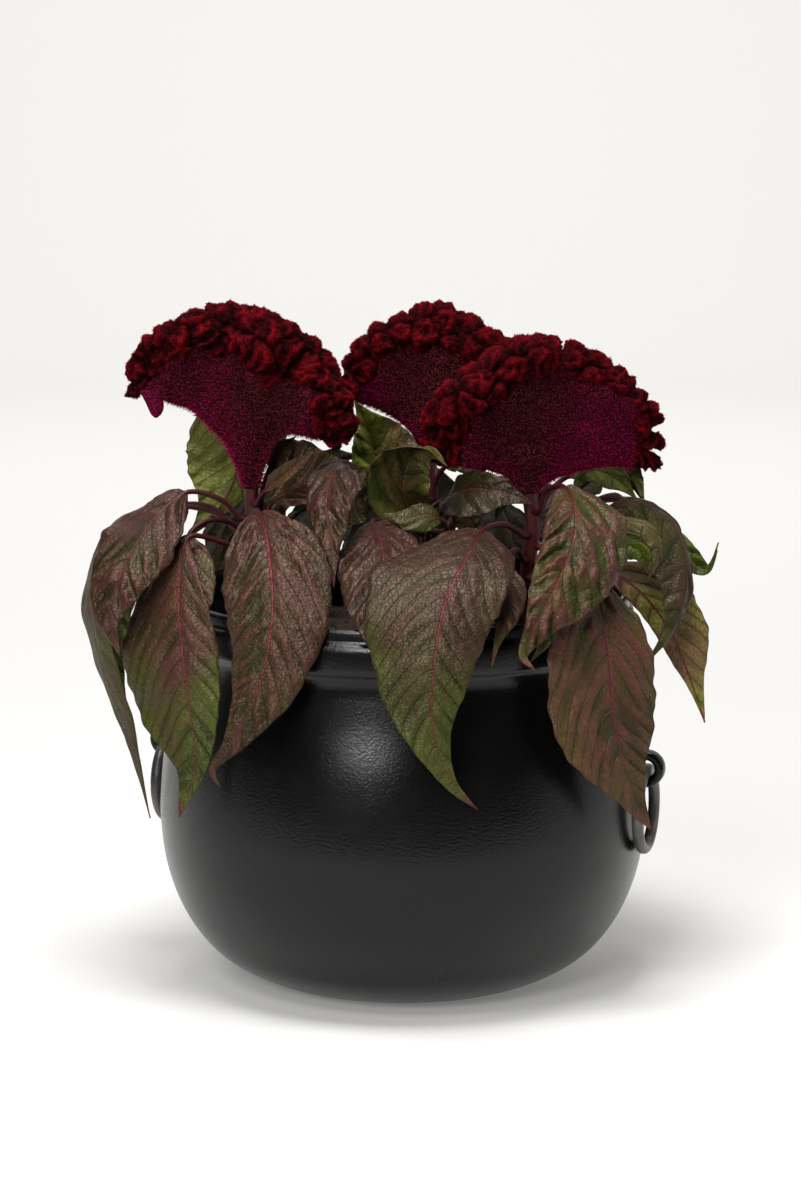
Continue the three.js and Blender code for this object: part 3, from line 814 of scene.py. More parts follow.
@dataclass
class CompostBed:
    """The compost that fills the planter: a slightly crowned bed of crumbs."""

    finish: bpy.types.Material
    level: float = 178.0
    crown: float = 2.6
    radius: float = 111.7
    crumbs: int = 460
    side: Points = ((76, 5), (95.5, 17.5), (120.2, 59), (123.6, 105), (115.2, 156), (111.7, 172))

    def height(self, spot: Array) -> Array:
        """Reads the bed's height.

        Args:
            spot: Places as x, y, 0 rows, in mm.

        Returns:
            The height over each place, in mm.
        """
        share = np.linalg.norm(spot[..., :2], axis=-1) / self.radius
        fade = smooth(share, 1.0, 0.9)
        lumps = 1.3 * drift(spot, 12, 5) + 0.8 * drift(spot, 5, 6)
        return self.level + self.crown * (1 - share**2) - 1.8 * share**4 + fade * lumps

    def build(self) -> None:
        """Builds the bed and the crumbs that lie half sunk in it."""
        count, rings = 144, 44
        turn = turns(count)
        way = np.stack([np.cos(turn), np.sin(turn)], -1)
        rows = [np.column_stack([r * way, np.full(count, z)]) for r, z in self.side]
        for share in np.linspace(1, 0.01, rings):
            spot = np.column_stack([share * self.radius * way, np.zeros(count)])
            spot[:, 2] = self.height(spot)
            rows.append(spot)
        faces = tube_faces(len(rows), count)
        points = np.concatenate(rows)
        lumps, lump_faces = self.scatter(len(points))
        make_piece("compost_bed", np.vstack([points, lumps]), faces + lump_faces, self.finish,
                   Body.PLANTER, "soil")

    def scatter(self, first: int) -> tuple[Array, list[Array]]:
        """Scatters crumbs over the bed.

        Args:
            first: The index of the first crumb's first point.

        Returns:
            The crumbs' points and faces.
        """
        rng = np.random.default_rng(31)
        rounds, segments = 4, 7
        tilt = np.linspace(0.12, math.pi - 0.12, rounds)
        turn = turns(segments)
        ball = np.array([(math.sin(a) * math.cos(b), math.sin(a) * math.sin(b), math.cos(a))
                         for a in tilt for b in turn])
        points, faces = [], []
        for i in range(self.crumbs):
            reach = self.radius * 0.96 * math.sqrt(rng.random())
            angle = rng.uniform(0, 2 * math.pi)
            spot = np.array([reach * math.cos(angle), reach * math.sin(angle), 0.0])
            spot[2] = self.height(spot[None])[0]
            size = rng.uniform(1.0, 2.8) * rng.uniform(0.7, 1.0, 3)
            shape = ball * (1 + rng.uniform(-0.22, 0.22, (len(ball), 1)))
            points.append(spot + shape * size)
            faces.append(tube_faces(rounds, segments, first + i * len(ball)))
        return np.concatenate(points), [np.concatenate([f[k] for f in faces]) for k in (0, 1)]


# --------------------------------------------------------------------------------- stems


@dataclass(frozen=True)
class Stem:
    """One upright stem: its radius and its axis, up from its foot in the compost."""

    name: str
    radius: float
    axis: Points

    @property
    def path(self) -> Path:
        """The stem's axis as a curve."""
        return Path(self.axis)

    @property
    def top(self) -> Array:
        """Where the crested head stands on the stem."""
        return np.array(self.axis[-1], float) + (0, 0, 0.3)

    def at(self, height: float) -> Array:
        """Finds where the axis passes a height.

        Args:
            height: The height in mm.

        Returns:
            The axis' point there, or its top if it ends lower.
        """
        spots = self.path.at(np.arange(1, 61) / 60)
        above = np.nonzero(spots[:, 2] >= height)[0]
        return spots[above[0]] if len(above) else spots[-1]

    def build(self, finish: bpy.types.Material) -> None:
        """Builds the stem with its ribs, up into the root of the head.

        Args:
            finish: Its material.
        """
        rows, count = 60, 30
        centre = self.path.at(np.linspace(0, 1, rows))
        centre[-3:, 2] += (0.5, 2.0, 4.0)
        turn = turns(count)
        ribs = 1 + 0.06 * np.cos(5 * turn + centre[:, 2:] * 0.02)
        swell = 1 + 0.05 * np.sin(centre[:, 2:] / 9)
        radius = self.radius * 0.96 * ribs * swell
        points = np.stack([centre[:, :1] + radius * np.cos(turn),
                           centre[:, 1:2] + radius * np.sin(turn),
                           centre[:, 2:] + 0 * turn], -1).reshape(-1, 3)
        make_piece(f"stem_{self.name}_ribbed", points, tube_faces(rows, count), finish,
                   Body.PLANTER, f"stem_{self.name}")


STEMS = {
    "left": Stem("left", 3.6, ((-66, -24, 152), (-66, -24, 182), (-72, -26, 215),
                               (-77, -30, 252), (-77, -31, 261.5))),
    "middle": Stem("middle", 4.2, ((12, 26, 152), (12, 26, 182), (13, 28, 220), (14, 30, 255),
                                   (14, 30, 269.5))),
    "right": Stem("right", 4.0, ((62, -26, 152), (62, -26, 182), (63, -28, 212),
                                 (66, -33, 244), (64, -34, 259.5))),
}


# --------------------------------------------------------------------------------- heads


@dataclass
class CrestedHead:
    """A crested flower head: a flat fan of florets under a folded, knobbly velvet crest.

    Rays leave the stalk upwards and bend out to the rim. Above `crest` (the share of a ray at
    the fan's left end, middle and right end) the flank swells into the crest.
    """

    name: str
    rim: Points
    lift: tuple[tuple[float, float], ...]
    crest: tuple[float, ...]
    depth: float
    waves: float
    seed: int
    flush: tuple[float, ...] = (0.5, 0.3, 0.1, 0.5, 0.9)  # magenta from the left end to the right
    flaps: tuple[tuple[Triple, Triple, float], ...] = ()
    slits: tuple[tuple[float, float], ...] = ()  # where the rim is slit, and how deep
    around: int = 400
    rows: int = 84
    stalk_radius: float = 4.2
    flank_depth: float = 8.0
    lobe_mm: float = 12.5
    knob_mm: float = 3.4
    curl_mm: float = 5.6
    rim_share: float = 0.99  # the lobes stand out to the rim from here
    flank_rows: float = 0.36  # the share of the grid's rows that lies below the crest
    sway_mm: float = 5.0  # how far the fan bends to the front and back
    lobe_rise_mm: float = 3.9
    curl_rise_mm: float = 2.2
    frill_rise_mm: float = 0.7
    knob_rise_mm: float = 0.8
    lobe_round_mm: float = 4.6  # how wide a lobe's rounded border is
    knob_round_mm: float = 1.9
    flank_bristles: int = 15000
    crest_bristles: int = 9500
    flank_spike_mm: float = 0.22  # a bristle's radius; a real one is too thin to show
    crest_spike_mm: float = 0.36
    flank_pile_mm: tuple[float, float] = (1.1, 2.1)  # its least and greatest length
    crest_pile_mm: tuple[float, float] = (0.6, 1.2)
    flank_lean: float = 0.5  # how far it leans out along its ray
    crest_lean: float = 0.1
    scatter: float = 0.26
    rooted_mm: float = 0.4
    glint: tuple[float, float] = (0.35, 1.1)  # how dull and how bright its end is

    def ease(self, values: tuple[float, ...], u: Array) -> Array:
        """Reads values that are spread evenly from the fan's left end to its right end."""
        return np.interp(u, np.linspace(0, 1, len(values)), values)

    def fan(self, u: Array, v: Array) -> Array:
        """Places points of the fan's middle sheet.

        Args:
            u: From the left end of the rim, 0, to the right end, 1.
            v: From the stalk, 0, to the rim, 1.

        Returns:
            Positions in mm.
        """
        stalk = STEMS[self.name].top
        rim = Path(self.rim).along(u.ravel()).reshape(*u.shape, 3)
        foot = np.zeros(rim.shape) + stalk
        foot[..., 0] -= self.stalk_radius * np.cos(math.pi * u)
        control = np.zeros(rim.shape) + stalk
        control[..., 0] += self.ease(tuple(x for x, _ in self.lift), u)
        control[..., 2] += self.ease(tuple(z for _, z in self.lift), u)
        v = v[..., None]
        return foot * (1 - v) ** 2 + control * 2 * v * (1 - v) + rim * v**2

    def half_depth(self, u: Array, v: Array) -> Array:
        """Gives how far the front or back face stands off the middle sheet.

        Args:
            u: The place across the fan.
            v: The place along its ray.

        Returns:
            Distances in mm.
        """
        start = self.ease(self.crest, u)
        stalk = self.stalk_radius * np.sin(math.pi * (0.08 + 0.84 * u))
        grown = np.clip(v / start, 0, 1)
        flank = stalk * (1 - grown) + self.flank_depth * grown
        x = np.clip((v - start) / (1 - start), 0, 1)
        full = self.depth * np.clip(0.45 + 2.2 * (1 - start), 0, 1)
        swell = self.flank_depth + (full - self.flank_depth) * smooth(x, 0, 0.22)
        top = np.clip((x - 0.35) / 0.65, 0, 1)
        return np.where(v < start, flank, swell * np.sqrt(np.maximum(0, 1 - top**2.3)) + 0.3)

    def cells(self, points: Array, allowed: Array, spacing: float, rng: np.random.Generator,
              ) -> tuple[Array, Array]:
        """Splits the crest into rounded cells.

        Args:
            points: Positions on the crest, rows of three.
            allowed: Which points may be a cell's middle.
            spacing: The least distance between middles in mm.
            rng: Draws the order in which middles are tried.

        Returns:
            The distance of each point to its cell's border, and the number of its cell.
        """
        tries = points[allowed]
        tries = tries[rng.permutation(len(tries))[:9000]]
        middles = tries[:1]
        for spot in tries[1:]:
            if np.min(np.sum((middles - spot) ** 2, axis=1)) > spacing**2:
                middles = np.vstack([middles, spot])
        shift = 0.12 * spacing
        bent = points + shift * wobble(points, 9, self.seed)
        border, which = np.zeros(len(points)), np.zeros(len(points), int)
        squares = np.sum(middles**2, axis=1)
        places = np.nonzero(allowed)[0]
        for batch in np.array_split(places, 24):
            near = np.sum(bent[batch] ** 2, axis=1)[:, None] + squares
            near = np.sqrt(np.maximum(0, near - 2 * bent[batch] @ middles.T))
            pair = np.partition(near, 1, axis=1)[:, :2]
            border[batch] = (pair[:, 1] - pair[:, 0]) / 2
            which[batch] = np.argmin(near, axis=1)
        return border, which

    def skin(self) -> tuple[Array, Array, Array, Array, Array]:
        """Builds the head's surface.

        Returns:
            Its points as a grid, the outward normals, the share of crest at each point, how
            far each point stands out of the crest's crevices, and the fan's u at each point.
        """
        rng = np.random.default_rng(self.seed)
        turn = turns(self.around)[None, :]
        level = np.linspace(0, 1, self.rows)[:, None]
        even = 1 - 2 * np.abs(1 - np.abs(1 - turn / math.pi))
        u = 0.5 - 0.25 * np.cos(turn) - 0.25 * even + 0 * level
        start = self.ease(self.crest, u)
        over = np.clip((level - self.flank_rows) / (1 - self.flank_rows), 0, 1)
        arc = np.clip((over - 0.33) / 0.67, 0, 1) * math.pi / 2
        x = 0.35 * np.minimum(over / 0.33, 1) + 0.65 * np.sin(arc) ** 0.87
        v = np.where(over > 0, start + x * (1 - start), start * level / self.flank_rows)
        reach = v * self.rim_share
        for place, deep in self.slits:
            slit = deep * np.exp(-(((u - place) / 0.007) ** 2))
            reach = reach * (1 - slit * smooth(level, 0.3, 1))
        face = -np.sign(np.sin(turn)) * np.abs(np.sin(turn)) ** 0.5
        ragged = 0.022 * np.sin(23 * u + self.seed) + 0.016 * np.sin(51 * u + 2 * self.seed)
        in_crest = smooth(v, start + ragged - 0.01, start + ragged + 0.03)
        wave = smooth(v, start - 0.1, start + 0.15)
        points = self.fan(u, reach)
        points[..., 1] += self.sway_mm * wave * np.sin(2 * math.pi * self.waves * u)
        points[..., 1] += face * self.half_depth(u, v)
        out = self.normals(points)
        flat = points.reshape(-1, 3)
        allowed = in_crest.ravel() > 0.6
        lobe, whose = self.cells(flat, allowed, self.lobe_mm, rng)
        knob, which = self.cells(flat, allowed, self.knob_mm, rng)
        lobe, knob = lobe.reshape(u.shape), knob.reshape(u.shape)
        proud = rng.uniform(0.55, 1.25, whose.max() + 1)[whose].reshape(u.shape)
        tall = rng.uniform(0.6, 1.2, which.max() + 1)[which].reshape(u.shape)

        def dome(border: Array, width: float) -> Array:
            """Rounds a cell up from its border."""
            return np.sqrt(1 - (1 - np.clip(border / width, 0, 1)) ** 2)

        bent = points + 1.5 * wobble(points, 8, self.seed + 30)
        curl = np.clip(1 - 1.7 * np.abs(drift(bent, self.curl_mm, self.seed + 40)), 0, 1) ** 0.8
        frill = np.clip(1 - 1.6 * np.abs(drift(bent, 0.5 * self.curl_mm, self.seed + 50)), 0, 1)
        big, small = dome(lobe, self.lobe_round_mm), dome(knob, self.knob_round_mm) * tall
        rise = in_crest * (self.lobe_rise_mm * proud * (big - 0.72)
                           + self.curl_rise_mm * (curl * big - 0.4)
                           + self.frill_rise_mm * (frill - 0.5)
                           + self.knob_rise_mm * (small - 0.6))
        ripple = (1 - in_crest) * (0.9 * drift(points, 14, self.seed + 9)
                                   + 0.3 * drift(points, 3.5, self.seed + 8))
        ripple = ripple * smooth(v, 0.02, 0.3)
        points = points + out * (rise + ripple)[..., None]
        # How far each point stands out of the crevices; the colours turn it into painted shade and
        # painted highlights.
        lit = np.clip(big * (0.14 + 0.46 * curl + 0.22 * frill) + 0.26 * small, 0, 1)
        return points, self.normals(points), in_crest, lit, u

    def normals(self, points: Array) -> Array:
        """Gives a grid's outward normals.

        Args:
            points: The grid, closed from its last column to its first.

        Returns:
            Unit vectors, the shape of points.
        """
        across = np.roll(points, -1, axis=1) - np.roll(points, 1, axis=1)
        along = np.gradient(points, axis=0)
        return unit(np.cross(across, along))

    def colours(self, velvet: PlumeVelvet, points: Array, in_crest: Array, lit: Array,
                u: Array) -> Array:
        """Colours the florets: painted shade in the crevices, painted highlights on the knobs,
        magenta at the ends.

        Args:
            velvet: The finish's colours.
            points: Where, in mm.
            in_crest: The share of crest there.
            lit: How far each point stands out of the crevices, which sets the painted shade and
                the painted highlights.
            u: The place across the fan.

        Returns:
            Linear RGBA rows.
        """
        # Painted shade in the crevices and painted highlights on the tops of the knobs.
        crest = blend_rows(colour(velvet.crevice_painted_shade), colour(velvet.crest), smooth(lit, 0.24, 0.6))
        crest = blend_rows(crest, colour(velvet.crest_top_painted_highlight), smooth(lit, 0.55, 1.0))
        flank = blend_rows(colour(velvet.flank), colour(velvet.flank_edge),
                           self.flushed(points, u))
        return blend_rows(flank, crest, in_crest)

    def flushed(self, points: Array, u: Array) -> Array:
        """Gives the share of magenta, which gathers towards the ends of the fan."""
        return np.clip(self.ease(self.flush, u) + 0.16 * drift(points, 16, self.seed + 4), 0, 1)

    def bristles(self, velvet: PlumeVelvet, points: Array, out: Array, in_crest: Array,
                 lit: Array, u: Array, first: int) -> tuple[Array, list[Array], Array]:
        """Plants the florets' bristles, each a thin closed spike.

        Args:
            velvet: The finish's colours.
            points: The skin's grid.
            out: Its outward normals.
            in_crest: The share of crest at each point.
            lit: How far each point stands out of the crevices, which sets the painted highlight on
                the crest's florets' ends.
            u: The place across the fan.
            first: The index of the first bristle's first point.

        Returns:
            Their points, their faces and their colours.
        """
        rng = np.random.default_rng(self.seed + 100)
        count = in_crest.shape[1]
        nxt = np.roll(points, -1, axis=1)
        area = np.linalg.norm(np.cross(nxt[:-1] - points[:-1], points[1:] - points[:-1]), axis=-1)
        crest_here = in_crest[:-1] > 0.5
        picks = []
        for amount, chosen in ((self.flank_bristles, ~crest_here),
                               (self.crest_bristles, crest_here)):
            weight = (area * chosen).ravel()
            picks.append(rng.choice(weight.size, amount, p=weight / weight.sum()))
        cell = np.concatenate(picks)
        r, c = cell // count, cell % count
        c2 = (c + 1) % count
        a, b = rng.random((2, len(cell), 1))

        def read(grid: Array) -> Array:
            """Reads a grid at the bristles' roots.

            Args:
                grid: Numbers or rows of three, one for each point of the skin.

            Returns:
                One row for each bristle.
            """
            if grid.ndim == 2:
                grid = grid[..., None]
            low = grid[r, c] * (1 - a) + grid[r, c2] * a
            high = grid[r + 1, c] * (1 - a) + grid[r + 1, c2] * a
            return low * (1 - b) + high * b

        root, normal = read(points), unit(read(out))
        crest, light = read(in_crest)[:, 0], read(lit)[:, 0]
        place = read(u)[:, 0]
        ray = unit((root - STEMS[self.name].top) * (1, 0.3, 1))
        base = self.colours(velvet, root, crest, light, place)
        flush = self.flushed(root, place)
        furry = crest > 0.5
        end_of_fan = smooth(np.abs(place - 0.5), 0.3, 0.5)
        lean = np.where(furry, self.crest_lean, self.flank_lean)[:, None]
        way = unit(normal + lean * ray + rng.normal(0, self.scatter, root.shape))
        side = unit(np.cross(way, rng.normal(size=root.shape)))
        other = np.cross(way, side)
        long = np.where(furry, rng.uniform(*self.crest_pile_mm, len(root)),
                        rng.uniform(*self.flank_pile_mm, len(root))
                        * (1 + 0.4 * end_of_fan))[:, None]
        bright = blend_rows(colour(velvet.speck), colour(velvet.magenta),
                            smooth(flush, 0.1, 0.75))
        bright = bright * rng.uniform(*self.glint, (len(root), 1))
        # Painted highlight: the crest's florets end brighter on the tops of the knobs.
        furry_end = blend_rows(base, colour(velvet.crest_tip_painted_highlight), 0.75 * smooth(light, 0.35, 0.95))
        ends = np.where(furry[:, None], furry_end, bright)
        ends[:, 3] = 1
        low_tint = np.where(furry[:, None], base, 0.65 * base + 0.35 * ends)
        wide = np.where(furry, self.crest_spike_mm, self.flank_spike_mm)[:, None]
        foot = root - self.rooted_mm * normal
        third = 2 * math.pi / 3
        corners = [foot + wide * (math.cos(k * third) * side + math.sin(k * third) * other)
                   for k in range(3)]
        spikes = np.stack([*corners, root + way * long], 1)
        tints = np.stack([low_tint, low_tint, low_tint, ends], 1)
        k = first + 4 * np.arange(len(root))[:, None]
        faces = np.concatenate([k + np.array([row]) for row in
                                ([0, 1, 3], [1, 2, 3], [2, 0, 3], [0, 2, 1])])
        return spikes.reshape(-1, 3), [faces], tints.reshape(-1, 4)

    def flap(self, foot: Triple, tip: Triple, width: float, first: int,
             ) -> tuple[Array, list[Array]]:
        """Builds a small loose lobe that hangs from the crest.

        Args:
            foot: Where it leaves the crest.
            tip: Its free end.
            width: Its width at the foot in mm.
            first: The index of its first point.

        Returns:
            Its points and faces.
        """
        start, end = np.array(foot, float), np.array(tip, float)
        rows, count = 10, 14
        share = np.linspace(0, 1, rows)[:, None]
        turn = turns(count)
        half = width / 2 * np.sqrt(np.maximum(0.02, 1 - share**2.4))
        centre = start + (end - start) * share[..., None]
        centre = centre + np.array([1.5, 0, 0]) * np.sin(math.pi * share)[..., None]
        points = np.stack([centre[..., 0] + half * np.cos(turn),
                           centre[..., 1] + 0.45 * half * np.sin(turn),
                           centre[..., 2] + 0 * turn], -1)
        return points.reshape(-1, 3), tube_faces(rows, count, first)

    def build(self, velvet: PlumeVelvet, finish: bpy.types.Material) -> None:
        """Builds the head's skin, its loose lobes and its bristles as one piece.

        Args:
            velvet: The finish's colours.
            finish: Its material.
        """
        points, out, in_crest, lit, u = self.skin()
        skin = points.reshape(-1, 3)
        faces = tube_faces(self.rows, self.around)[:1]
        k = np.arange(self.around // 2)
        for row, turned in ((0, False), (self.rows - 1, True)):
            base = row * self.around
            left, right = base + k, base + (self.around - k) % self.around
            after = base + k + 1
            before = base + (self.around - k - 1) % self.around
            strip = np.stack([left, right, before, after], -1)
            first_tri = strip[:1][:, [0, 2, 3]]
            last_tri = strip[-1:][:, [0, 1, 2]]
            middle = strip[1:-1]
            for part in (first_tri, middle, last_tri):
                faces.append(part[:, ::-1] if turned else part)
        tints = self.colours(velvet, points, in_crest, lit, u).reshape(-1, 4)
        parts, colours = [skin], [tints]
        total = len(skin)
        for foot, tip, width in self.flaps:
            more, more_faces = self.flap(foot, tip, width, total)
            faces += more_faces
            parts.append(more)
            glow = blend_rows(colour(velvet.flank_edge), colour(velvet.magenta), 0.1)
            colours.append(np.tile(glow, (len(more), 1)))
            total += len(more)
        spikes, spike_faces, spike_tints = self.bristles(velvet, points, out, in_crest, lit, u,
                                                         total)
        faces += spike_faces
        make_piece(f"crested_head_{self.name}", np.vstack([*parts, spikes]), faces, finish,
                   Body.PLANTER, f"head_{self.name}",
                   {"tint": np.vstack([*colours, spike_tints])})


HEADS = (
    CrestedHead(
        "left",
        rim=((-142, -30, 308), (-136, -28, 333), (-115, -32, 349), (-93, -34, 356),
             (-73, -34, 355), (-54, -36, 346), (-38, -40, 333), (-28, -44, 314),
             (-22, -46, 295), (-31, -48, 282)),
        lift=((-17, 50), (-3, 46), (10, 42)),
        crest=(0.91, 0.84, 0.78, 0.78, 0.72, 0.62, 0.64, 0.73, 0.76, 0.73, 0.8), depth=15,
        waves=3.2, seed=3, flush=(0.7, 0.45, 0.25, 0.25, 0.5),
        flaps=(((-129, -31, 312), (-125, -33.5, 298), 10.0),)),
    CrestedHead(
        "middle",
        rim=((-31, 26, 300), (-31, 28, 319), (-18, 30, 337), (2, 31, 346), (20, 32, 350),
             (39, 31, 342), (54, 30, 333), (66, 30, 317), (68, 32, 298), (58, 34, 286)),
        lift=((-12, 24), (0, 32), (12, 20)),
        crest=(0.9, 0.8, 0.82, 0.78, 0.75, 0.73, 0.77, 0.8, 0.82), depth=14, waves=2.6, seed=14,
        flush=(0.6, 0.35, 0.12, 0.3, 0.6)),
    CrestedHead(
        "right",
        rim=((10, -36.5, 274), (10, -39, 297), (20, -41, 316), (39, -40, 329), (57, -38, 340),
             (76, -36, 340), (97, -35, 332), (117, -36, 318), (130, -37, 300), (132, -38, 272)),
        lift=((-14, 15), (0, 34), (16, 17)),
        crest=(0.76, 0.73, 0.77, 0.73, 0.76, 0.78, 0.83, 0.9, 0.89, 0.88, 0.86), depth=16,
        waves=3.4, seed=27, flush=(0.55, 0.3, 0.1, 0.55, 1.0),
        slits=((0.55, 0.16), (0.9, 0.09), (0.955, 0.09))),
)


# -------------------------------------------------------------------------------- leaves


CLOSE, PLAIN, YOUNG = (96, 16), (72, 11), (48, 8)  # rows of a blade, columns in each half


@dataclass(frozen=True)
class Look:
    """How one leaf has aged.

    green runs from the blade's base to its tip, brown is its share of plum brown, dry is the
    length of its dry tip in mm, quilt the height of the pillows between its veins in mm and
    pink how pink its midrib is.
    """

    green: tuple[float, float] = (0.25, 0.5)
    brown: float = 0.2
    dry: float = 5
    quilt: float = 1.1
    pink: float = 0.5
    valley: float = 0.3  # how green the grooves along its veins are
    tone: float = 1.0  # how light its colours are: partly its own colour, partly painted shade on leaves that stand in shade and painted light on lit and backlit ones


@dataclass(frozen=True)
class Leaf:
    """One leaf.

    stem and at say where its petiole leaves, spine runs from the petiole to the tip, blade is
    the index of the spine point where the blade begins, wide the half widths to the left and
    right of the midrib, face the way its upper face looks at the base and at the tip, fold the
    angle of each half to a flat blade, cup the share of its width by which the edges rise,
    wave the same for its waved edge, peak where along the blade it is widest, taper how much
    narrower the blade's far end grows and fineness its rows and the columns in each half.
    """

    name: str
    stem: str
    at: float
    spine: Points
    wide: tuple[float, float]
    face: tuple[Triple, Triple]
    look: Look = Look()
    blade: int = 1
    fold: float = -8
    cup: float = 0
    wave: float = 0.08
    peak: float = 0.38
    taper: float = 0.3
    fineness: tuple[int, int] = PLAIN
    packed: bool = True  # whether the frame has a node for it
    vein_mm: float = 12.5
    vein_slant: float = 1.05  # how far a side vein runs on towards the tip as it goes out
    vein_curve: float = 0.02
    pucker_mm: float = 5.4
    crumple_mm: float = 7.0
    quilt_gain: float = 1.6
    petiole_mm: tuple[float, ...] = (2.1, 1.55, 1.35, 1.0, 0.35)  # radii from stem to tip
    middle_mm: float = 0.42  # half the blade's thickness at its midrib
    edge_mm: float = 0.2  # the same at its edge

    def path(self) -> tuple[Path, float, float]:
        """Lays the leaf's axis out from its stem.

        Returns:
            The axis, the share of its length where the blade starts, and its length in mm.
        """
        stem = STEMS[self.stem]
        root = stem.at(self.at)
        out = unit(np.array([self.spine[0][0] - root[0], self.spine[0][1] - root[1], 0.0]))
        start = root + out * (stem.radius + 0.3)
        axis = Path([tuple(start), tuple(start + 3 * out), *self.spine])
        blade_t = (self.blade + 2) / (len(self.spine) + 1)
        blade_share = np.interp(blade_t, axis.shares, axis.lengths) / axis.lengths[-1]
        return axis, float(blade_share), float(axis.lengths[-1])

    def frame(self, axis: Path, s: Array, t: Array) -> tuple[Array, Array, Array]:
        """Gives the axis, the upper face's normal and the sideways direction.

        Args:
            axis: The leaf's axis.
            s: Shares of its length.
            t: The same places as shares of the blade.

        Returns:
            Centres, normals and sides, one row for each place.
        """
        tangent = axis.tangent(s)
        base, tip = (np.array(f, float) for f in self.face)
        face = base * (1 - t[:, None]) + tip * t[:, None]
        normal = unit(face - tangent * np.sum(face * tangent, axis=1, keepdims=True))
        return axis.along(s), normal, np.cross(tangent, normal)

    def blade_grid(self, axis: Path, start: float, length: float, seed: int,
                   ) -> dict[str, Array]:
        """Shapes the blade's middle sheet.

        Args:
            axis: The leaf's axis.
            start: The share of the axis where the blade starts.
            length: The axis' length in mm.
            seed: Varies the ripples.

        Returns:
            The sheet's points, normals, u and t, and its millimetres along and across.
        """
        rows, columns = self.fineness
        t = np.linspace(0, 1, rows) ** 1.05
        s = start + (1 - start) * t
        centre, normal, side = self.frame(axis, s, t)
        steps = np.linspace(0, 1, columns + 1)
        u = np.concatenate([-steps[:0:-1], steps])[None, :] + 0 * t[:, None]
        tt = t[:, None] + 0 * u
        bend = math.log(0.5) / math.log(self.peak)
        share = np.sin(math.pi * np.minimum(tt, 0.9995) ** bend) ** 0.85
        share = share * (1 - self.taper * tt**2) * (1 - 0.4 * smooth(tt, 0.62, 0.93))
        wide = np.where(u < 0, self.wide[0], self.wide[1])
        nick = 1 + 0.03 * np.sin(tt * 61 + seed) * np.sin(tt * 23 + 2 * seed)
        width = np.maximum(0.35, share * wide * nick)
        across = width * np.abs(u)
        fold = math.radians(self.fold)
        ripple = self.wave * np.sin(5 * math.pi * tt + 2 * u) * u**2
        fine = 0.035 * np.sin(13 * math.pi * tt + 2.2 * np.sign(u) + seed) * np.abs(u) ** 3
        x = (1 - start) * length * tt
        y = across * np.sign(u)
        phase = (x - self.vein_slant * across - self.vein_curve * across**2) / self.vein_mm
        spot = np.stack([x, y, 0 * x], -1)
        phase = phase + 0.3 * np.tanh(y / 4) + 0.2 * drift(spot, 26, seed + 7)
        swell = np.abs(np.sin(math.pi * phase)) ** 0.65
        turn = 1.35 * across / self.pucker_mm + 1.3 * np.floor(phase) + 0.5 * drift(spot, 11, seed)
        cross = np.abs(np.sin(math.pi * turn)) ** 0.6
        room = smooth(across, 0.6, 4.5) * smooth(np.abs(u), 1.0, 0.86) * smooth(tt, 1, 0.82)
        uneven = 0.75 + 0.45 * drift(spot, 30, seed + 5)
        lay = np.stack([phase * self.vein_mm, 0.55 * y, 0 * x], -1)
        crumple = 1 - 1.7 * np.abs(drift(lay, self.crumple_mm, seed + 6))
        quilt = 0.9 * swell * (0.5 + 0.5 * cross) - 0.5 + 0.8 * np.maximum(crumple, -0.4)
        quilt = self.quilt_gain * self.look.quilt * uneven * quilt * room
        groove = -0.35 * np.exp(-((across / 1.5) ** 2)) * smooth(tt, 1, 0.85)
        rise = across * math.sin(fold) + width * (self.cup * u**2 + ripple + fine)
        rise = rise + quilt + groove
        flat = across * math.cos(fold) * np.sign(u)
        points = (centre[:, None] + side[:, None] * flat[..., None]
                  + normal[:, None] * rise[..., None])
        valley = np.clip(0.75 - 0.45 * swell - 0.45 * crumple, 0, 1)
        return {"points": points, "normal": normal, "u": u, "t": tt, "x": x, "y": y,
                "phase": phase, "valley": valley}

    def tints(self, skin: BronzeLeafSkin, grid: dict[str, Array], seed: int, upper: bool,
              ) -> Array:
        """Colours the blade: bronze to green, browner edges, painted shade in its grooves, a dry
        tip and paler undersides.

        Args:
            skin: The finish's colours.
            grid: What blade_grid gave.
            seed: Varies the patches.
            upper: Whether this is the upper face.

        Returns:
            Linear RGBA rows.
        """
        t, u, points = grid["t"], grid["u"], grid["points"]
        patch = drift(points, 22, seed)
        low, high = self.look.green
        green = low + (high - low) * smooth(t, 0.25, 0.95)
        green = green + 0.22 * patch * smooth(green, 0, 0.3)
        green = green + self.look.valley * 1.6 * (grid["valley"] - 0.2)
        green = green + 0.3 * (high - low) * smooth(np.abs(u), 0.65, 1) * smooth(t, 0.2, 0.6)
        leafy = blend_rows(colour(skin.deep_green), colour(skin.green),
                           np.clip(0.5 + 0.5 * drift(points, 30, seed + 1), 0, 1))
        tint = blend_rows(colour(skin.bronze), colour(skin.plum),
                          np.clip(self.look.brown + 0.25 * drift(points, 18, seed + 2), 0, 1))
        tint = blend_rows(tint, leafy, np.clip(green, 0, 1))
        # Painted shade: the blade darkens in the grooves between its pillows, the more so the
        # higher its quilt.
        depth = min(self.look.quilt, 1.4)
        tint = tint * np.maximum(1 + 0.25 * depth - depth * grid["valley"][..., None], 0.42)
        edge = smooth(np.abs(u), 0.93, 1.0)
        tint = blend_rows(tint, colour(skin.plum), 0.55 * edge)
        if self.look.dry:
            left = grid["x"].max() - grid["x"]
            dry = smooth(left, self.look.dry + 4, self.look.dry * 0.4)
            tint = blend_rows(tint, colour(skin.dry), dry)
        if not upper:
            tint = blend_rows(tint, colour(skin.under), 0.45 * np.ones(t.shape))
        # The tone scales the whole leaf: its own lightness together with painted light and painted
        # shade.
        return tint * np.array([self.look.tone] * 3 + [1])

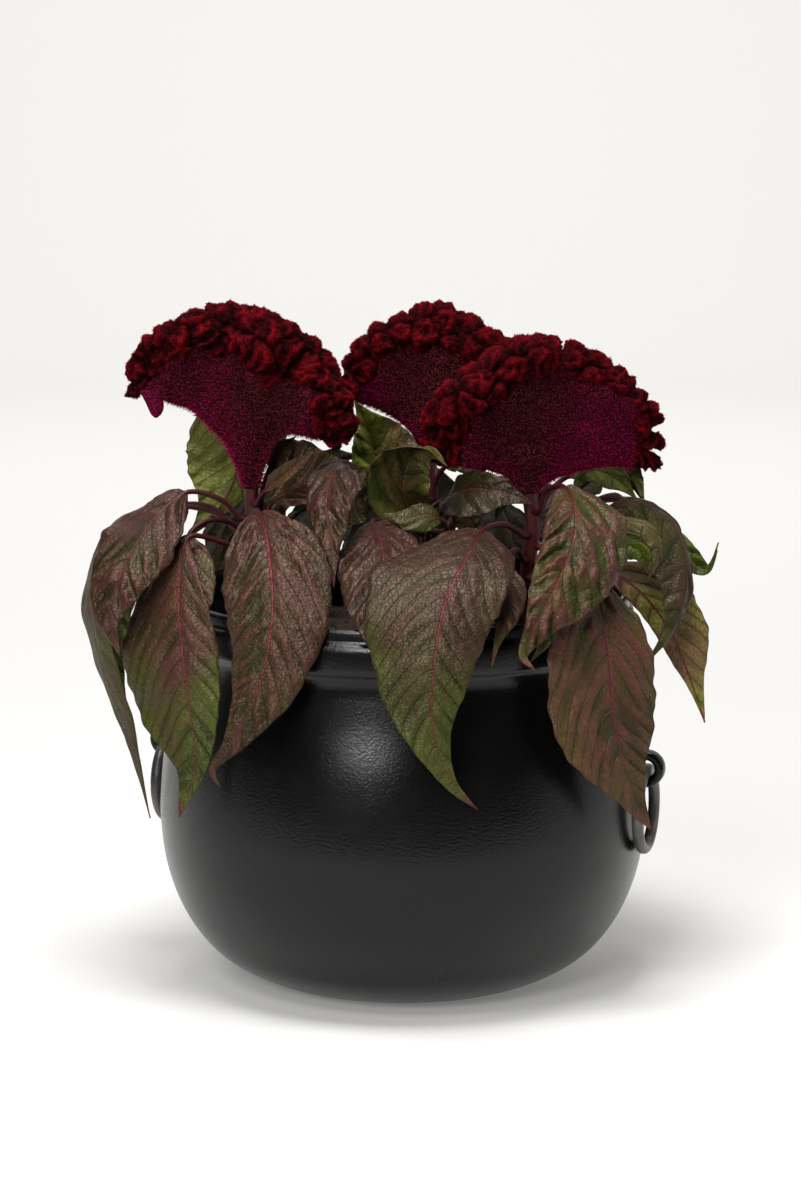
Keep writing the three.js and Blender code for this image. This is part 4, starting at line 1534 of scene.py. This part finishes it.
    def petiole(self, skin: BronzeLeafSkin, axis: Path, start: float, first: int,
                ) -> tuple[Array, list[Array], Array]:
        """Builds the petiole, which runs on as the rib under the blade.

        Args:
            skin: The finish's colours.
            axis: The leaf's axis.
            start: The share of the axis where the blade starts.
            first: The index of its first point.

        Returns:
            Its points, its faces and its colours.
        """
        rows, around = 64, 10
        s = np.linspace(0, start + (1 - start) * 0.94, rows)
        t = np.clip((s - start) / (1 - start), 0, 1)
        centre, normal, side = self.frame(axis, s, t)
        radius = np.interp(s, [0, 0.03, start, start + 0.15, 1], self.petiole_mm)
        sink = smooth(t, 0, 0.06) * (radius * 0.55 + 0.35)
        centre = centre - normal * sink[:, None]
        centre[0] += 1.6 * unit(axis.at(0)[0] - axis.at(0.02)[0])
        turn = turns(around)
        tube = (centre[:, None] + radius[:, None, None]
                * (side[:, None] * np.cos(turn)[None, :, None]
                   - normal[:, None] * np.sin(turn)[None, :, None]))
        crimson = smooth(t, 0.55, 0.05)[:, None] * np.ones((1, around))
        tints = blend_rows(colour(skin.under), colour(skin.petiole), crimson)
        return tube.reshape(-1, 3), tube_faces(rows, around, first), tints.reshape(-1, 4)

    def build(self, skin: BronzeLeafSkin, finish: bpy.types.Material, seed: int) -> None:
        """Builds the leaf's blade and its petiole as one piece.

        Args:
            skin: The finish's colours.
            finish: Its material.
            seed: Varies its ripples and patches.
        """
        rows = self.fineness[0]
        axis, start, length = self.path()
        grid = self.blade_grid(axis, start, length, seed)
        thick = self.middle_mm + (self.edge_mm - self.middle_mm) * np.abs(grid["u"])
        half = thick[..., None] * grid["normal"][:, None]

        def joined(upper: Array, lower: Array) -> Array:
            """Joins the rows of the upper face to the reversed rows of the lower one."""
            return np.concatenate([upper, lower[:, ::-1]], axis=1)

        ring = joined(grid["points"] + half, grid["points"] - half)
        count = ring.shape[1]
        faces = [tube_faces(rows, count)[0]]
        j = np.arange(count // 2 - 1)
        for row, turned in ((0, False), (rows - 1, True)):
            cap = row * count + np.stack([j, count - 1 - j, count - 2 - j, j + 1], -1)
            faces.append(cap[:, ::-1] if turned else cap)
        x, y, phase, t = (joined(grid[k], grid[k]) for k in ("x", "y", "phase", "t"))
        pink = self.look.pink * (1 - 0.6 * smooth(t, 0.45, 0.9))
        tints = joined(*(self.tints(skin, grid, seed, upper) for upper in (True, False)))
        tube, more_faces, rib_tints = self.petiole(skin, axis, start, rows * count)
        blank = np.zeros((len(tube), 3))
        looks = {
            "tint": np.vstack([tints.reshape(-1, 4), rib_tints]),
            "blade_mm": np.vstack([np.stack([x, y, phase], -1).reshape(-1, 3), blank]),
            "leaf_look": np.vstack([np.stack([t, pink, np.ones_like(pink)], -1).reshape(-1, 3),
                                    blank]),
        }
        node = f"leaf_{self.name}" if self.packed else None
        make_piece(f"leaf_{self.name}_blade", np.vstack([ring.reshape(-1, 3), tube]),
                   faces + more_faces, finish, Body.PLANTER, node, looks)


@dataclass(frozen=True)
class YoungLeaf(Leaf):
    """A small young leaf in the shade between the stems, with no node of its own."""

    fold: float = 10
    wave: float = 0.1
    fineness: tuple[int, int] = YOUNG
    packed: bool = False


# Each leaf's tone holds painted light and shade besides its own colour: the low tones of
# right_shade, mid_lip, front and the young leaves are painted shade, and the high ones of
# left_back, mid_tip_up and right_pale paint light on and through them.
LEAVES = (
    Leaf("left_far", "left", 234,
         ((-98, -8, 246), (-127, 2, 247), (-152, 4, 236), (-163, 0, 206), (-158, -5, 172),
          (-144, -9, 132), (-132, -13, 85)),
         wide=(15, 15), face=((-0.6, 0, 0.8), (-0.85, -0.6, 0.1)), wave=0.06,
         look=Look(dry=6, quilt=0.6, pink=0.2, valley=0.2, tone=0.85)),
    Leaf("left_upper", "left", 246,
         ((-92, -35, 256), (-109, -40, 261), (-127, -56, 247), (-142, -72, 221), (-146, -80, 202),
          (-141, -83, 185)),
         wide=(20, 28), face=((-0.2, -0.5, 0.8), (-0.5, -0.9, 0.2)), fold=-14, cup=-0.05,
         peak=0.42, fineness=CLOSE,
         look=Look(green=(0.05, 0.15), brown=0.35, quilt=1.8, pink=0.6, valley=0.35, tone=0.7)),
    Leaf("left_front", "left", 228,
         ((-92, -44, 236), (-108, -54, 240), (-112, -68, 216), (-110, -79, 187), (-106, -85, 155),
          (-104, -88, 129), (-112, -90, 104)),
         wide=(19, 39), face=((-0.4, -0.6, 0.7), (-0.4, -1, 0)), fold=-5, cup=-0.08, wave=0.06,
         peak=0.48, fineness=CLOSE,
         look=Look(green=(0.0, 1.0), brown=0.1, dry=8, quilt=0.75, pink=0.8, valley=0.25,
                   tone=0.9)),
    Leaf("left_between", "left", 218,
         ((-84, -26, 240), (-98, -36, 246), (-108, -44, 240), (-107, -53, 229), (-104, -68, 211),
          (-103, -78, 187)),
         wide=(12, 12), face=((0, -0.5, 0.85), (0, -1, 0.2)), blade=2, fold=-6,
         look=Look(green=(0.25, 0.2), brown=0.3, dry=0, quilt=1.0, pink=0.3)),
    Leaf("left_centre", "left", 239,
         ((-76, -44, 250), (-72, -62, 254), (-66, -92, 238), (-64, -111, 209), (-71, -118, 175),
          (-84, -117, 148), (-94, -115, 134), (-90, -117, 126)),
         wide=(30, 27), face=((-0.1, -0.5, 0.85), (-0.3, -1, 0.1)), fold=-6, cup=-0.1, wave=0.06,
         peak=0.35, taper=0.45, fineness=CLOSE,
         look=Look(green=(0.0, 0.2), dry=9, quilt=1.9, pink=1.0, valley=0.35, tone=0.74)),
    Leaf("left_back", "left", 232,
         ((-80, -8, 272), (-80, 4, 285), (-83, 12, 281), (-87, 17, 264), (-96, 16, 245),
          (-112, 14, 229)),
         wide=(30, 12), face=((0.1, 0.95, 0.3), (-0.1, 0.95, 0.2)), blade=0, fold=6, cup=0.08,
         wave=0.05, peak=0.45, fineness=CLOSE,
         look=Look(green=(0.95, 0.9), brown=0, dry=0, quilt=1.2, pink=0.2, valley=0.2, tone=2.0)),
    Leaf("left_inner", "left", 243,
         ((-68, -22, 252), (-61, -20, 257), (-50, -17, 262), (-37, -15, 268), (-26, -12, 272)),
         wide=(25, 15), face=((0, -0.7, 0.7), (0, -0.9, 0.4)), blade=0, fold=10, wave=0.1,
         peak=0.5, fineness=CLOSE,
         look=Look(green=(0.15, 0.3), brown=0.4, dry=3, quilt=1.2)),
    Leaf("left_young", "left", 254,
         ((-70, -46, 262), (-61, -55, 271), (-50, -59, 280), (-43, -61, 286)),
         wide=(5, 5), face=((0.2, -0.7, 0.7), (0, -1, 0.3)), blade=0, fold=20, wave=0.1,
         look=Look(green=(0.1, 0.1), brown=0.4, dry=0, quilt=0.3, pink=0.4, valley=0.2)),
    Leaf("mid_tip_up", "middle", 238,
         ((2, 14, 246), (-9, 7, 252), (-13, 3, 270), (-18, 0, 288), (-25, -3, 303)),
         wide=(14, 24), face=((0, -0.8, 0.6), (0, -1, 0.1)), fold=8, fineness=CLOSE,
         look=Look(green=(0.4, 0.5), dry=0, quilt=1.3, valley=0.2, tone=1.5)),
    Leaf("mid_arch", "middle", 232,
         ((-4, 4, 250), (-17, -20, 267), (-32, -43, 275), (-38, -66, 263), (-36, -86, 244),
          (-34, -98, 222)),
         wide=(17, 14), face=((-0.2, -0.5, 0.85), (-0.3, -1, 0.1)), fold=-14, fineness=CLOSE,
         look=Look(green=(0.0, 0.1), brown=0.4, dry=4, quilt=1.7, pink=0.6, tone=0.58)),
    Leaf("mid_front", "middle", 220,
         ((-6, -10, 238), (-15, -45, 247), (-10, -81, 238), (-10, -108, 220), (-9, -126, 197),
          (-5, -131, 173)),
         wide=(20, 24), face=((0, -0.5, 0.85), (0, -1, 0.05)), fold=-6, cup=-0.06, wave=0.06,
         fineness=CLOSE,
         look=Look(green=(0.0, 0.12), brown=0.35, dry=4, quilt=1.7, tone=0.6)),
    Leaf("rolled", "middle", 224,
         ((12, -14, 240), (6, -29, 246), (0, -35, 262), (5, -38, 279), (14, -45, 284),
          (22, -53, 276)),
         wide=(19, 18), face=((0, -0.9, 0.3), (-0.4, -0.3, -0.8)), fold=24, cup=0.3, wave=0.05,
         fineness=CLOSE,
         look=Look(green=(0.45, 0.6), brown=0.1, dry=0, pink=0.3)),
    Leaf("mid_lip", "middle", 230,
         ((18, -10, 236), (22, -36, 241), (19, -53, 249), (13, -58, 252), (3, -62, 251),
          (-10, -60, 253)),
         wide=(9, 8), face=((0, -0.8, 0.6), (0, -1, 0.4)), blade=2, fold=-10, wave=0.06,
         look=Look(green=(0.35, 0.4), dry=0, quilt=0.8, pink=0.3, valley=0.2, tone=0.5)),
    Leaf("right_shade", "middle", 242,
         ((15, 6, 246), (21, -20, 254), (30, -40, 262), (43, -51, 264), (55, -55, 262),
          (66, -56, 257)),
         wide=(10, 18), face=((0, -0.8, 0.6), (0, -1, 0.25)), fold=10, peak=0.48,
         look=Look(green=(0.3, 0.35), brown=0.3, dry=0, quilt=1.0, pink=0.4, valley=0.2,
                   tone=0.3)),
    Leaf("front", "right", 238,
         ((52, -52, 246), (40, -74, 247), (31, -105, 238), (20, -128, 219), (15, -139, 192),
          (14, -142, 163), (23, -143, 135), (36, -144, 121)),
         wide=(27, 43), face=((-0.1, -0.6, 0.8), (0.1, -1, 0)), fold=-6, cup=-0.1, peak=0.33,
         taper=0.5, fineness=CLOSE,
         look=Look(green=(0.05, 0.9), brown=0.4, dry=10, quilt=1.0, pink=0.9, valley=0.35,
                   tone=0.62)),
    Leaf("front_behind", "right", 224,
         ((58, -44, 232), (51, -62, 229), (53, -86, 220), (51, -106, 211), (46, -119, 199),
          (43, -124, 188)),
         wide=(9, 9), face=((0.2, -0.6, 0.8), (0.2, -1, 0)), fold=-6, wave=0.05,
         look=Look(green=(0.1, 0.2), brown=0.3, dry=3, quilt=0.8, pink=0.4, valley=0.2)),
    Leaf("right_centre", "right", 250,
         ((72, -46, 262), (80, -62, 267), (85, -84, 259), (83, -101, 244), (74, -112, 225),
          (64, -119, 206), (58, -122, 192), (64, -125, 186)),
         wide=(30, 16), face=((0.1, -0.5, 0.85), (0.35, -1, 0.1)), cup=-0.1, wave=0.1,
         fineness=CLOSE,
         look=Look(green=(0.1, 0.2), brown=0.25, dry=4, quilt=2.2, pink=0.6, valley=0.75,
                   tone=1.06)),
    Leaf("right_low", "right", 222,
         ((80, -42, 228), (93, -63, 224), (98, -83, 207), (102, -94, 183), (104, -97, 158),
          (110, -95, 132), (117, -91, 112), (124, -86, 97)),
         wide=(29, 38), face=((0.3, -0.5, 0.8), (0.45, -0.9, 0.1)), fold=0, cup=-0.04, wave=0.06,
         peak=0.47, fineness=CLOSE,
         look=Look(green=(0.08, 0.25), brown=0.4, dry=6, quilt=0.95, pink=1.0, valley=0.25,
                   tone=1.35)),
    Leaf("right_small", "right", 216,
         ((71, -82, 218), (71, -98, 208), (69, -108, 196), (62, -111, 187)),
         wide=(7, 8), face=((0.2, -0.6, 0.8), (0, -1, 0.2)), blade=0, fold=-20, wave=0.05,
         look=Look(green=(0.8, 0.9), brown=0.1, dry=0, quilt=0.7, pink=0.4, valley=0.2)),
    Leaf("right_arch", "right", 236,
         ((82, -24, 246), (101, -21, 248), (119, -19, 253), (138, -22, 242), (145, -32, 217),
          (137, -45, 191), (123, -54, 175)),
         wide=(15, 20), face=((0.3, -0.4, 0.9), (0.9, -0.6, 0.1)), fold=-28, fineness=CLOSE,
         look=Look(green=(0.35, 0.4), brown=0.15, dry=4, quilt=1.2, pink=0.4, valley=0.35,
                   tone=0.62)),
    Leaf("right_curl", "right", 230,
         ((84, -46, 234), (99, -53, 243), (111, -57, 248), (121, -61, 247), (127, -63, 239),
          (127, -64, 229), (122, -62, 218)),
         wide=(7, 7), face=((0.2, -0.5, 0.8), (0.6, -0.8, 0.1)), fold=-30, wave=0.06,
         fineness=CLOSE,
         look=Look(green=(0.4, 0.45), brown=0.4, dry=4, quilt=0.9, pink=0.4)),
    Leaf("right_green", "right", 208,
         ((88, -33, 222), (102, -41, 228), (113, -43, 234), (120, -44, 231), (124, -44, 220)),
         wide=(10, 9), face=((0, -0.8, 0.6), (0.2, -1, 0.1)), fold=14, wave=0.06,
         look=Look(green=(0.95, 1.0), brown=0, dry=0, quilt=0.8, pink=0.2, valley=0.1)),
    Leaf("right_pale", "right", 214,
         ((86, -16, 221), (101, -12, 218), (116, -20, 211), (128, -26, 200), (138, -27, 185),
          (145, -26, 169), (151, -24, 153), (156, -22, 138)),
         wide=(30, 9), face=((0.3, -0.6, 0.7), (0.5, -0.85, 0)), fold=-4, cup=-0.06, wave=0.06,
         fineness=CLOSE,
         look=Look(green=(0.3, 0.35), brown=0.0, dry=7, quilt=0.7, pink=2.0, valley=0.05,
                   tone=3.4)),
    Leaf("right_tip", "right", 245,
         ((82, -10, 247), (116, 8, 249), (134, 12, 232), (150, 11, 218), (159, 8, 213),
          (164, 4, 228)),
         wide=(9, 9), face=((0.2, -0.3, 0.9), (-0.9, -0.4, 0.2)), fold=10, wave=0.05,
         look=Look(green=(0.9, 1.0), brown=0, dry=0, quilt=0.6, pink=0.1, valley=0.1)),
    Leaf("right_back", "right", 248,
         ((84, -12, 253), (97, 4, 261), (110, 12, 265), (120, 15, 259), (126, 12, 247)),
         wide=(15, 18), face=((0, 0.8, 0.6), (0.3, 0.9, 0.4)), blade=0, fold=8, wave=0.06,
         fineness=CLOSE,
         look=Look(green=(0.85, 0.9), brown=0, dry=0, quilt=1.4, pink=0.2, valley=0.2, tone=1.3)),
    Leaf("back_left", "left", 220,
         ((-74, 6, 234), (-80, 42, 247), (-84, 74, 240), (-89, 100, 216), (-90, 117, 186),
          (-89, 122, 154)),
         wide=(27, 27), face=((-0.3, 0.4, 0.9), (-0.5, 0.9, 0)), cup=-0.05),
    Leaf("back_mid_left", "middle", 228,
         ((-6, 46, 238), (-30, 70, 246), (-44, 96, 234), (-50, 117, 212), (-52, 126, 180)),
         wide=(22, 22), face=((-0.3, 0.4, 0.9), (-0.3, 1, 0)), cup=-0.05),
    Leaf("back_high_left", "middle", 246,
         ((-2, 42, 258), (-18, 56, 266), (-36, 70, 262), (-50, 78, 250), (-60, 82, 236)),
         wide=(17, 17), face=((-0.2, 0.3, 0.9), (-0.5, 0.7, 0.6)), fold=8),
    Leaf("inner_left", "left", 240,
         ((-66, -6, 248), (-56, 16, 256), (-46, 36, 252), (-40, 52, 240), (-36, 62, 226)),
         wide=(17, 17), face=((0.1, 0.3, 0.9), (0.4, 0.8, 0.4))),
    Leaf("side_left_back", "left", 226,
         ((-99, 6, 246), (-122, 20, 243), (-140, 26, 215), (-152, 22, 189), (-154, 15, 166),
          (-148, 9, 137), (-140, 5, 116)),
         wide=(15, 15), face=((-0.4, 0.1, 0.9), (-0.7, -0.7, 0.1)), cup=-0.05, fineness=CLOSE,
         look=Look(green=(0.9, 0.95), brown=0, dry=0, quilt=1.0, pink=0.2, valley=0.1)),
    Leaf("back_centre", "middle", 238,
         ((12, 48, 250), (8, 76, 259), (6, 105, 245), (4, 128, 214), (2, 134, 184),
          (4, 138, 152)),
         wide=(28, 28), face=((0, 0.4, 0.9), (0, 1, 0)), cup=-0.05),
    Leaf("back_mid_right", "middle", 222,
         ((26, 44, 234), (46, 70, 242), (56, 96, 230), (62, 114, 206), (64, 120, 176)),
         wide=(21, 21), face=((0.3, 0.4, 0.9), (0.4, 0.9, 0)), cup=-0.05),
    Leaf("inner_right", "right", 240,
         ((68, -10, 249), (64, 14, 259), (58, 38, 258), (54, 58, 246), (50, 72, 230)),
         wide=(17, 17), face=((-0.1, 0.3, 0.9), (-0.2, 0.8, 0.5))),
    Leaf("side_right_back", "right", 232,
         ((86, -4, 243), (112, 24, 250), (130, 41, 235), (139, 50, 208), (142, 54, 178)),
         wide=(20, 20), face=((0.4, 0.2, 0.9), (0.9, 0.5, 0.1)), cup=-0.05),
    Leaf("back_right", "right", 226,
         ((72, 2, 240), (82, 44, 252), (91, 76, 240), (97, 99, 212), (99, 110, 182),
          (98, 114, 152)),
         wide=(27, 27), face=((0.3, 0.4, 0.9), (0.6, 0.8, 0)), cup=-0.05),
    YoungLeaf("young_left", "middle", 228,
              ((4, 18, 238), (-10, 13, 254), (-21, 8, 258), (-26, 4, 248), (-27, 1, 234),
               (-27, 0, 219)),
              wide=(9, 9), face=((0, -0.6, 0.8), (0, -1, 0.1)), blade=2,
              look=Look(green=(0.2, 0.3), brown=0.4, dry=0, quilt=0.9, pink=0.4, tone=0.7)),
    YoungLeaf("young_top", "middle", 246,
              ((17, 22, 256), (22, 17, 266), (30, 13, 270), (38, 10, 266), (45, 8, 258)),
              wide=(8, 8), face=((0, -0.7, 0.7), (0, -1, 0.2)),
              look=Look(green=(0.1, 0.2), brown=0.4, dry=0, quilt=0.9, pink=0.4, tone=0.35)),
    YoungLeaf("young_right", "middle", 226,
              ((18, 20, 238), (26, 13, 248), (31, 9, 247), (33, 7, 238), (34, 6, 226)),
              wide=(8, 8), face=((0, -0.7, 0.7), (0, -1, 0.2)),
              look=Look(green=(0.2, 0.3), brown=0.4, dry=0, quilt=0.9, pink=0.4, tone=0.5)),
    YoungLeaf("young_green", "right", 246,
              ((74, -18, 256), (84, -8, 264), (97, -2, 267), (111, 1, 261), (122, 3, 250)),
              wide=(10, 9), face=((0, -0.7, 0.7), (0, -1, 0.2)),
              look=Look(green=(0.7, 0.8), brown=0.1, dry=0, quilt=0.9, pink=0.3, valley=0.2,
                        tone=0.9)),
    YoungLeaf("young_dark", "left", 246,
              ((-72, -20, 258), (-68, -16, 270), (-62, -14, 279), (-55, -13, 286)),
              wide=(7, 7), face=((0, -0.9, 0.4), (0, -1, 0.2)),
              look=Look(green=(0.1, 0.2), brown=0.4, dry=0, quilt=0.9, pink=0.4, valley=0.2,
                        tone=0.4)),
)


# -------------------------------------------------------------------------------- studio


@dataclass(frozen=True)
class SoftBox:
    """A soft box: where it hangs, what it faces and its width and height, all in metres."""

    name: str
    at: Triple
    aim: Triple
    size: tuple[float, float]
    watts: float

    def hang(self) -> None:
        """Hangs it in the scene."""
        data = bpy.data.lights.new(self.name, "AREA")
        data.shape = "RECTANGLE"
        data.size, data.size_y = self.size
        data.energy = self.watts
        light = add_object(self.name, data)
        light.location = self.at
        way = np.array(self.aim) - np.array(self.at)
        flat = math.hypot(way[0], way[1])
        light.rotation_euler = (math.atan2(flat, -way[2]), 0, math.atan2(-way[0], way[1]))


SOFT_BOXES = (
    SoftBox("top_box", (-0.08, -0.46, 1.9), (0, 0, 0.1), (0.8, 0.7), 46),
    SoftBox("front_box", (-0.6, -1.3, 1.45), (0, 0, 0.17), (0.5, 0.5), 13),
    SoftBox("low_box", (-0.52, -1.62, 0.8), (0, 0, 0.15), (0.46, 0.4), 19),
    SoftBox("side_box", (1.7, -0.2, 0.9), (0, 0, 0.15), (0.8, 1.4), 8),
    SoftBox("backdrop_box", (0, 1.7, 2.2), (0, 3.4, 0), (4.0, 1.2), 82),
)


@dataclass
class Studio:
    """A paper sweep, the soft boxes round it, a white room and the camera."""

    paper: bpy.types.Material
    camera_at: Triple = (-0.0013, -1.8, 0.52)
    aim_height: float = 0.1984
    lens_mm: float = 105.45
    film_mm: float = 36.0
    room_white: str = "#fbf9f8"
    room_light: float = 0.05
    half_width: float = 6000.0
    front: float = -640.0  # where the floor ends in front
    back: float = 2600.0  # where it starts to bend up
    bend: float = 900.0
    height: float = 5200.0

    def sweep(self) -> None:
        """Builds the curved backdrop and the floor, which ends in front so the pot stays dark."""
        back, bend = self.back, self.bend
        curve = [(back + bend * math.sin(a), bend - bend * math.cos(a))
                 for a in np.linspace(0.1, math.pi / 2, 16)]
        line = np.array([(self.front, 0.0), (back, 0.0), *curve, (back + bend, self.height)])
        points = np.concatenate([np.column_stack([np.full(len(line), x), line])
                                 for x in (-self.half_width, self.half_width)]) * MM
        count = len(line)
        k = np.arange(count - 1)
        quads = np.stack([k, k + count, k + count + 1, k + 1], -1)
        mesh = bpy.data.meshes.new("paper_sweep")
        mesh.from_pydata(points.tolist(), [], quads.tolist())
        mesh.shade_smooth()
        mesh.materials.append(self.paper)
        add_object("paper_sweep", mesh)

    def lights(self) -> None:
        """Hangs the soft boxes and sets the faint light of the white room."""
        for box in SOFT_BOXES:
            box.hang()
        world = bpy.context.scene.world or bpy.data.worlds.new("room")
        bpy.context.scene.world = world
        world.use_nodes = True
        sky = world.node_tree.nodes["Background"]
        connect(world.node_tree, sky, {
            "Color": srgb(self.room_white), "Strength": self.room_light})

    def camera(self) -> None:
        """Sets the camera."""
        data = bpy.data.cameras.new("camera")
        data.sensor_width = self.film_mm
        data.lens = self.lens_mm
        data.clip_end = 50
        eye = add_object("camera", data)
        dip = math.atan2(self.camera_at[2] - self.aim_height, -self.camera_at[1])
        eye.location = self.camera_at
        eye.rotation_euler = (math.pi / 2 - dip, 0, 0)
        bpy.context.scene.camera = eye

    def build(self) -> None:
        """Sets the whole studio and a plain film."""
        self.camera()
        self.sweep()
        self.lights()
        bpy.context.scene.view_settings.view_transform = "Standard"
        bpy.context.scene.view_settings.look = "None"


def main() -> None:
    """Builds the studio and the potted plant, piece by piece."""
    logging.basicConfig(level=logging.INFO, format="%(message)s")
    for spare in [o for o in bpy.context.scene.objects
                  if o.type in ("MESH", "LIGHT", "CAMERA") and o.get("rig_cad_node") is None]:
        bpy.data.objects.remove(spare)
    Studio(SeamlessPaper().material()).build()
    pot = MouldedPolypropylene("moulded_black_polypropylene").material()
    # The rings are the planter's black plastic; their grey base colour is a painted reflection of
    # the white room.
    ring = MouldedPolypropylene("handle_polypropylene_painted_reflection", base="#55524f",
                                roughness=(0.3, 0.4), specular=0.6,
                                grain_depth_mm=0.03).material()
    CauldronPlanter(pot).build()
    for side in Side:
        RingHandle(side, ring).build()
    CompostBed(MoistCompost().material()).build()
    stem_skin = CrimsonStem().material()
    for stem in STEMS.values():
        stem.build(stem_skin)
    velvet = PlumeVelvet()
    velvet_skin = velvet.material()
    for head in HEADS:
        head.build(velvet, velvet_skin)
    leaf = BronzeLeafSkin()
    leaf_skin = leaf.material()
    for number, blade in enumerate(LEAVES):
        blade.build(leaf, leaf_skin, 40 + 7 * number)


if __name__ == "__main__":
    main()
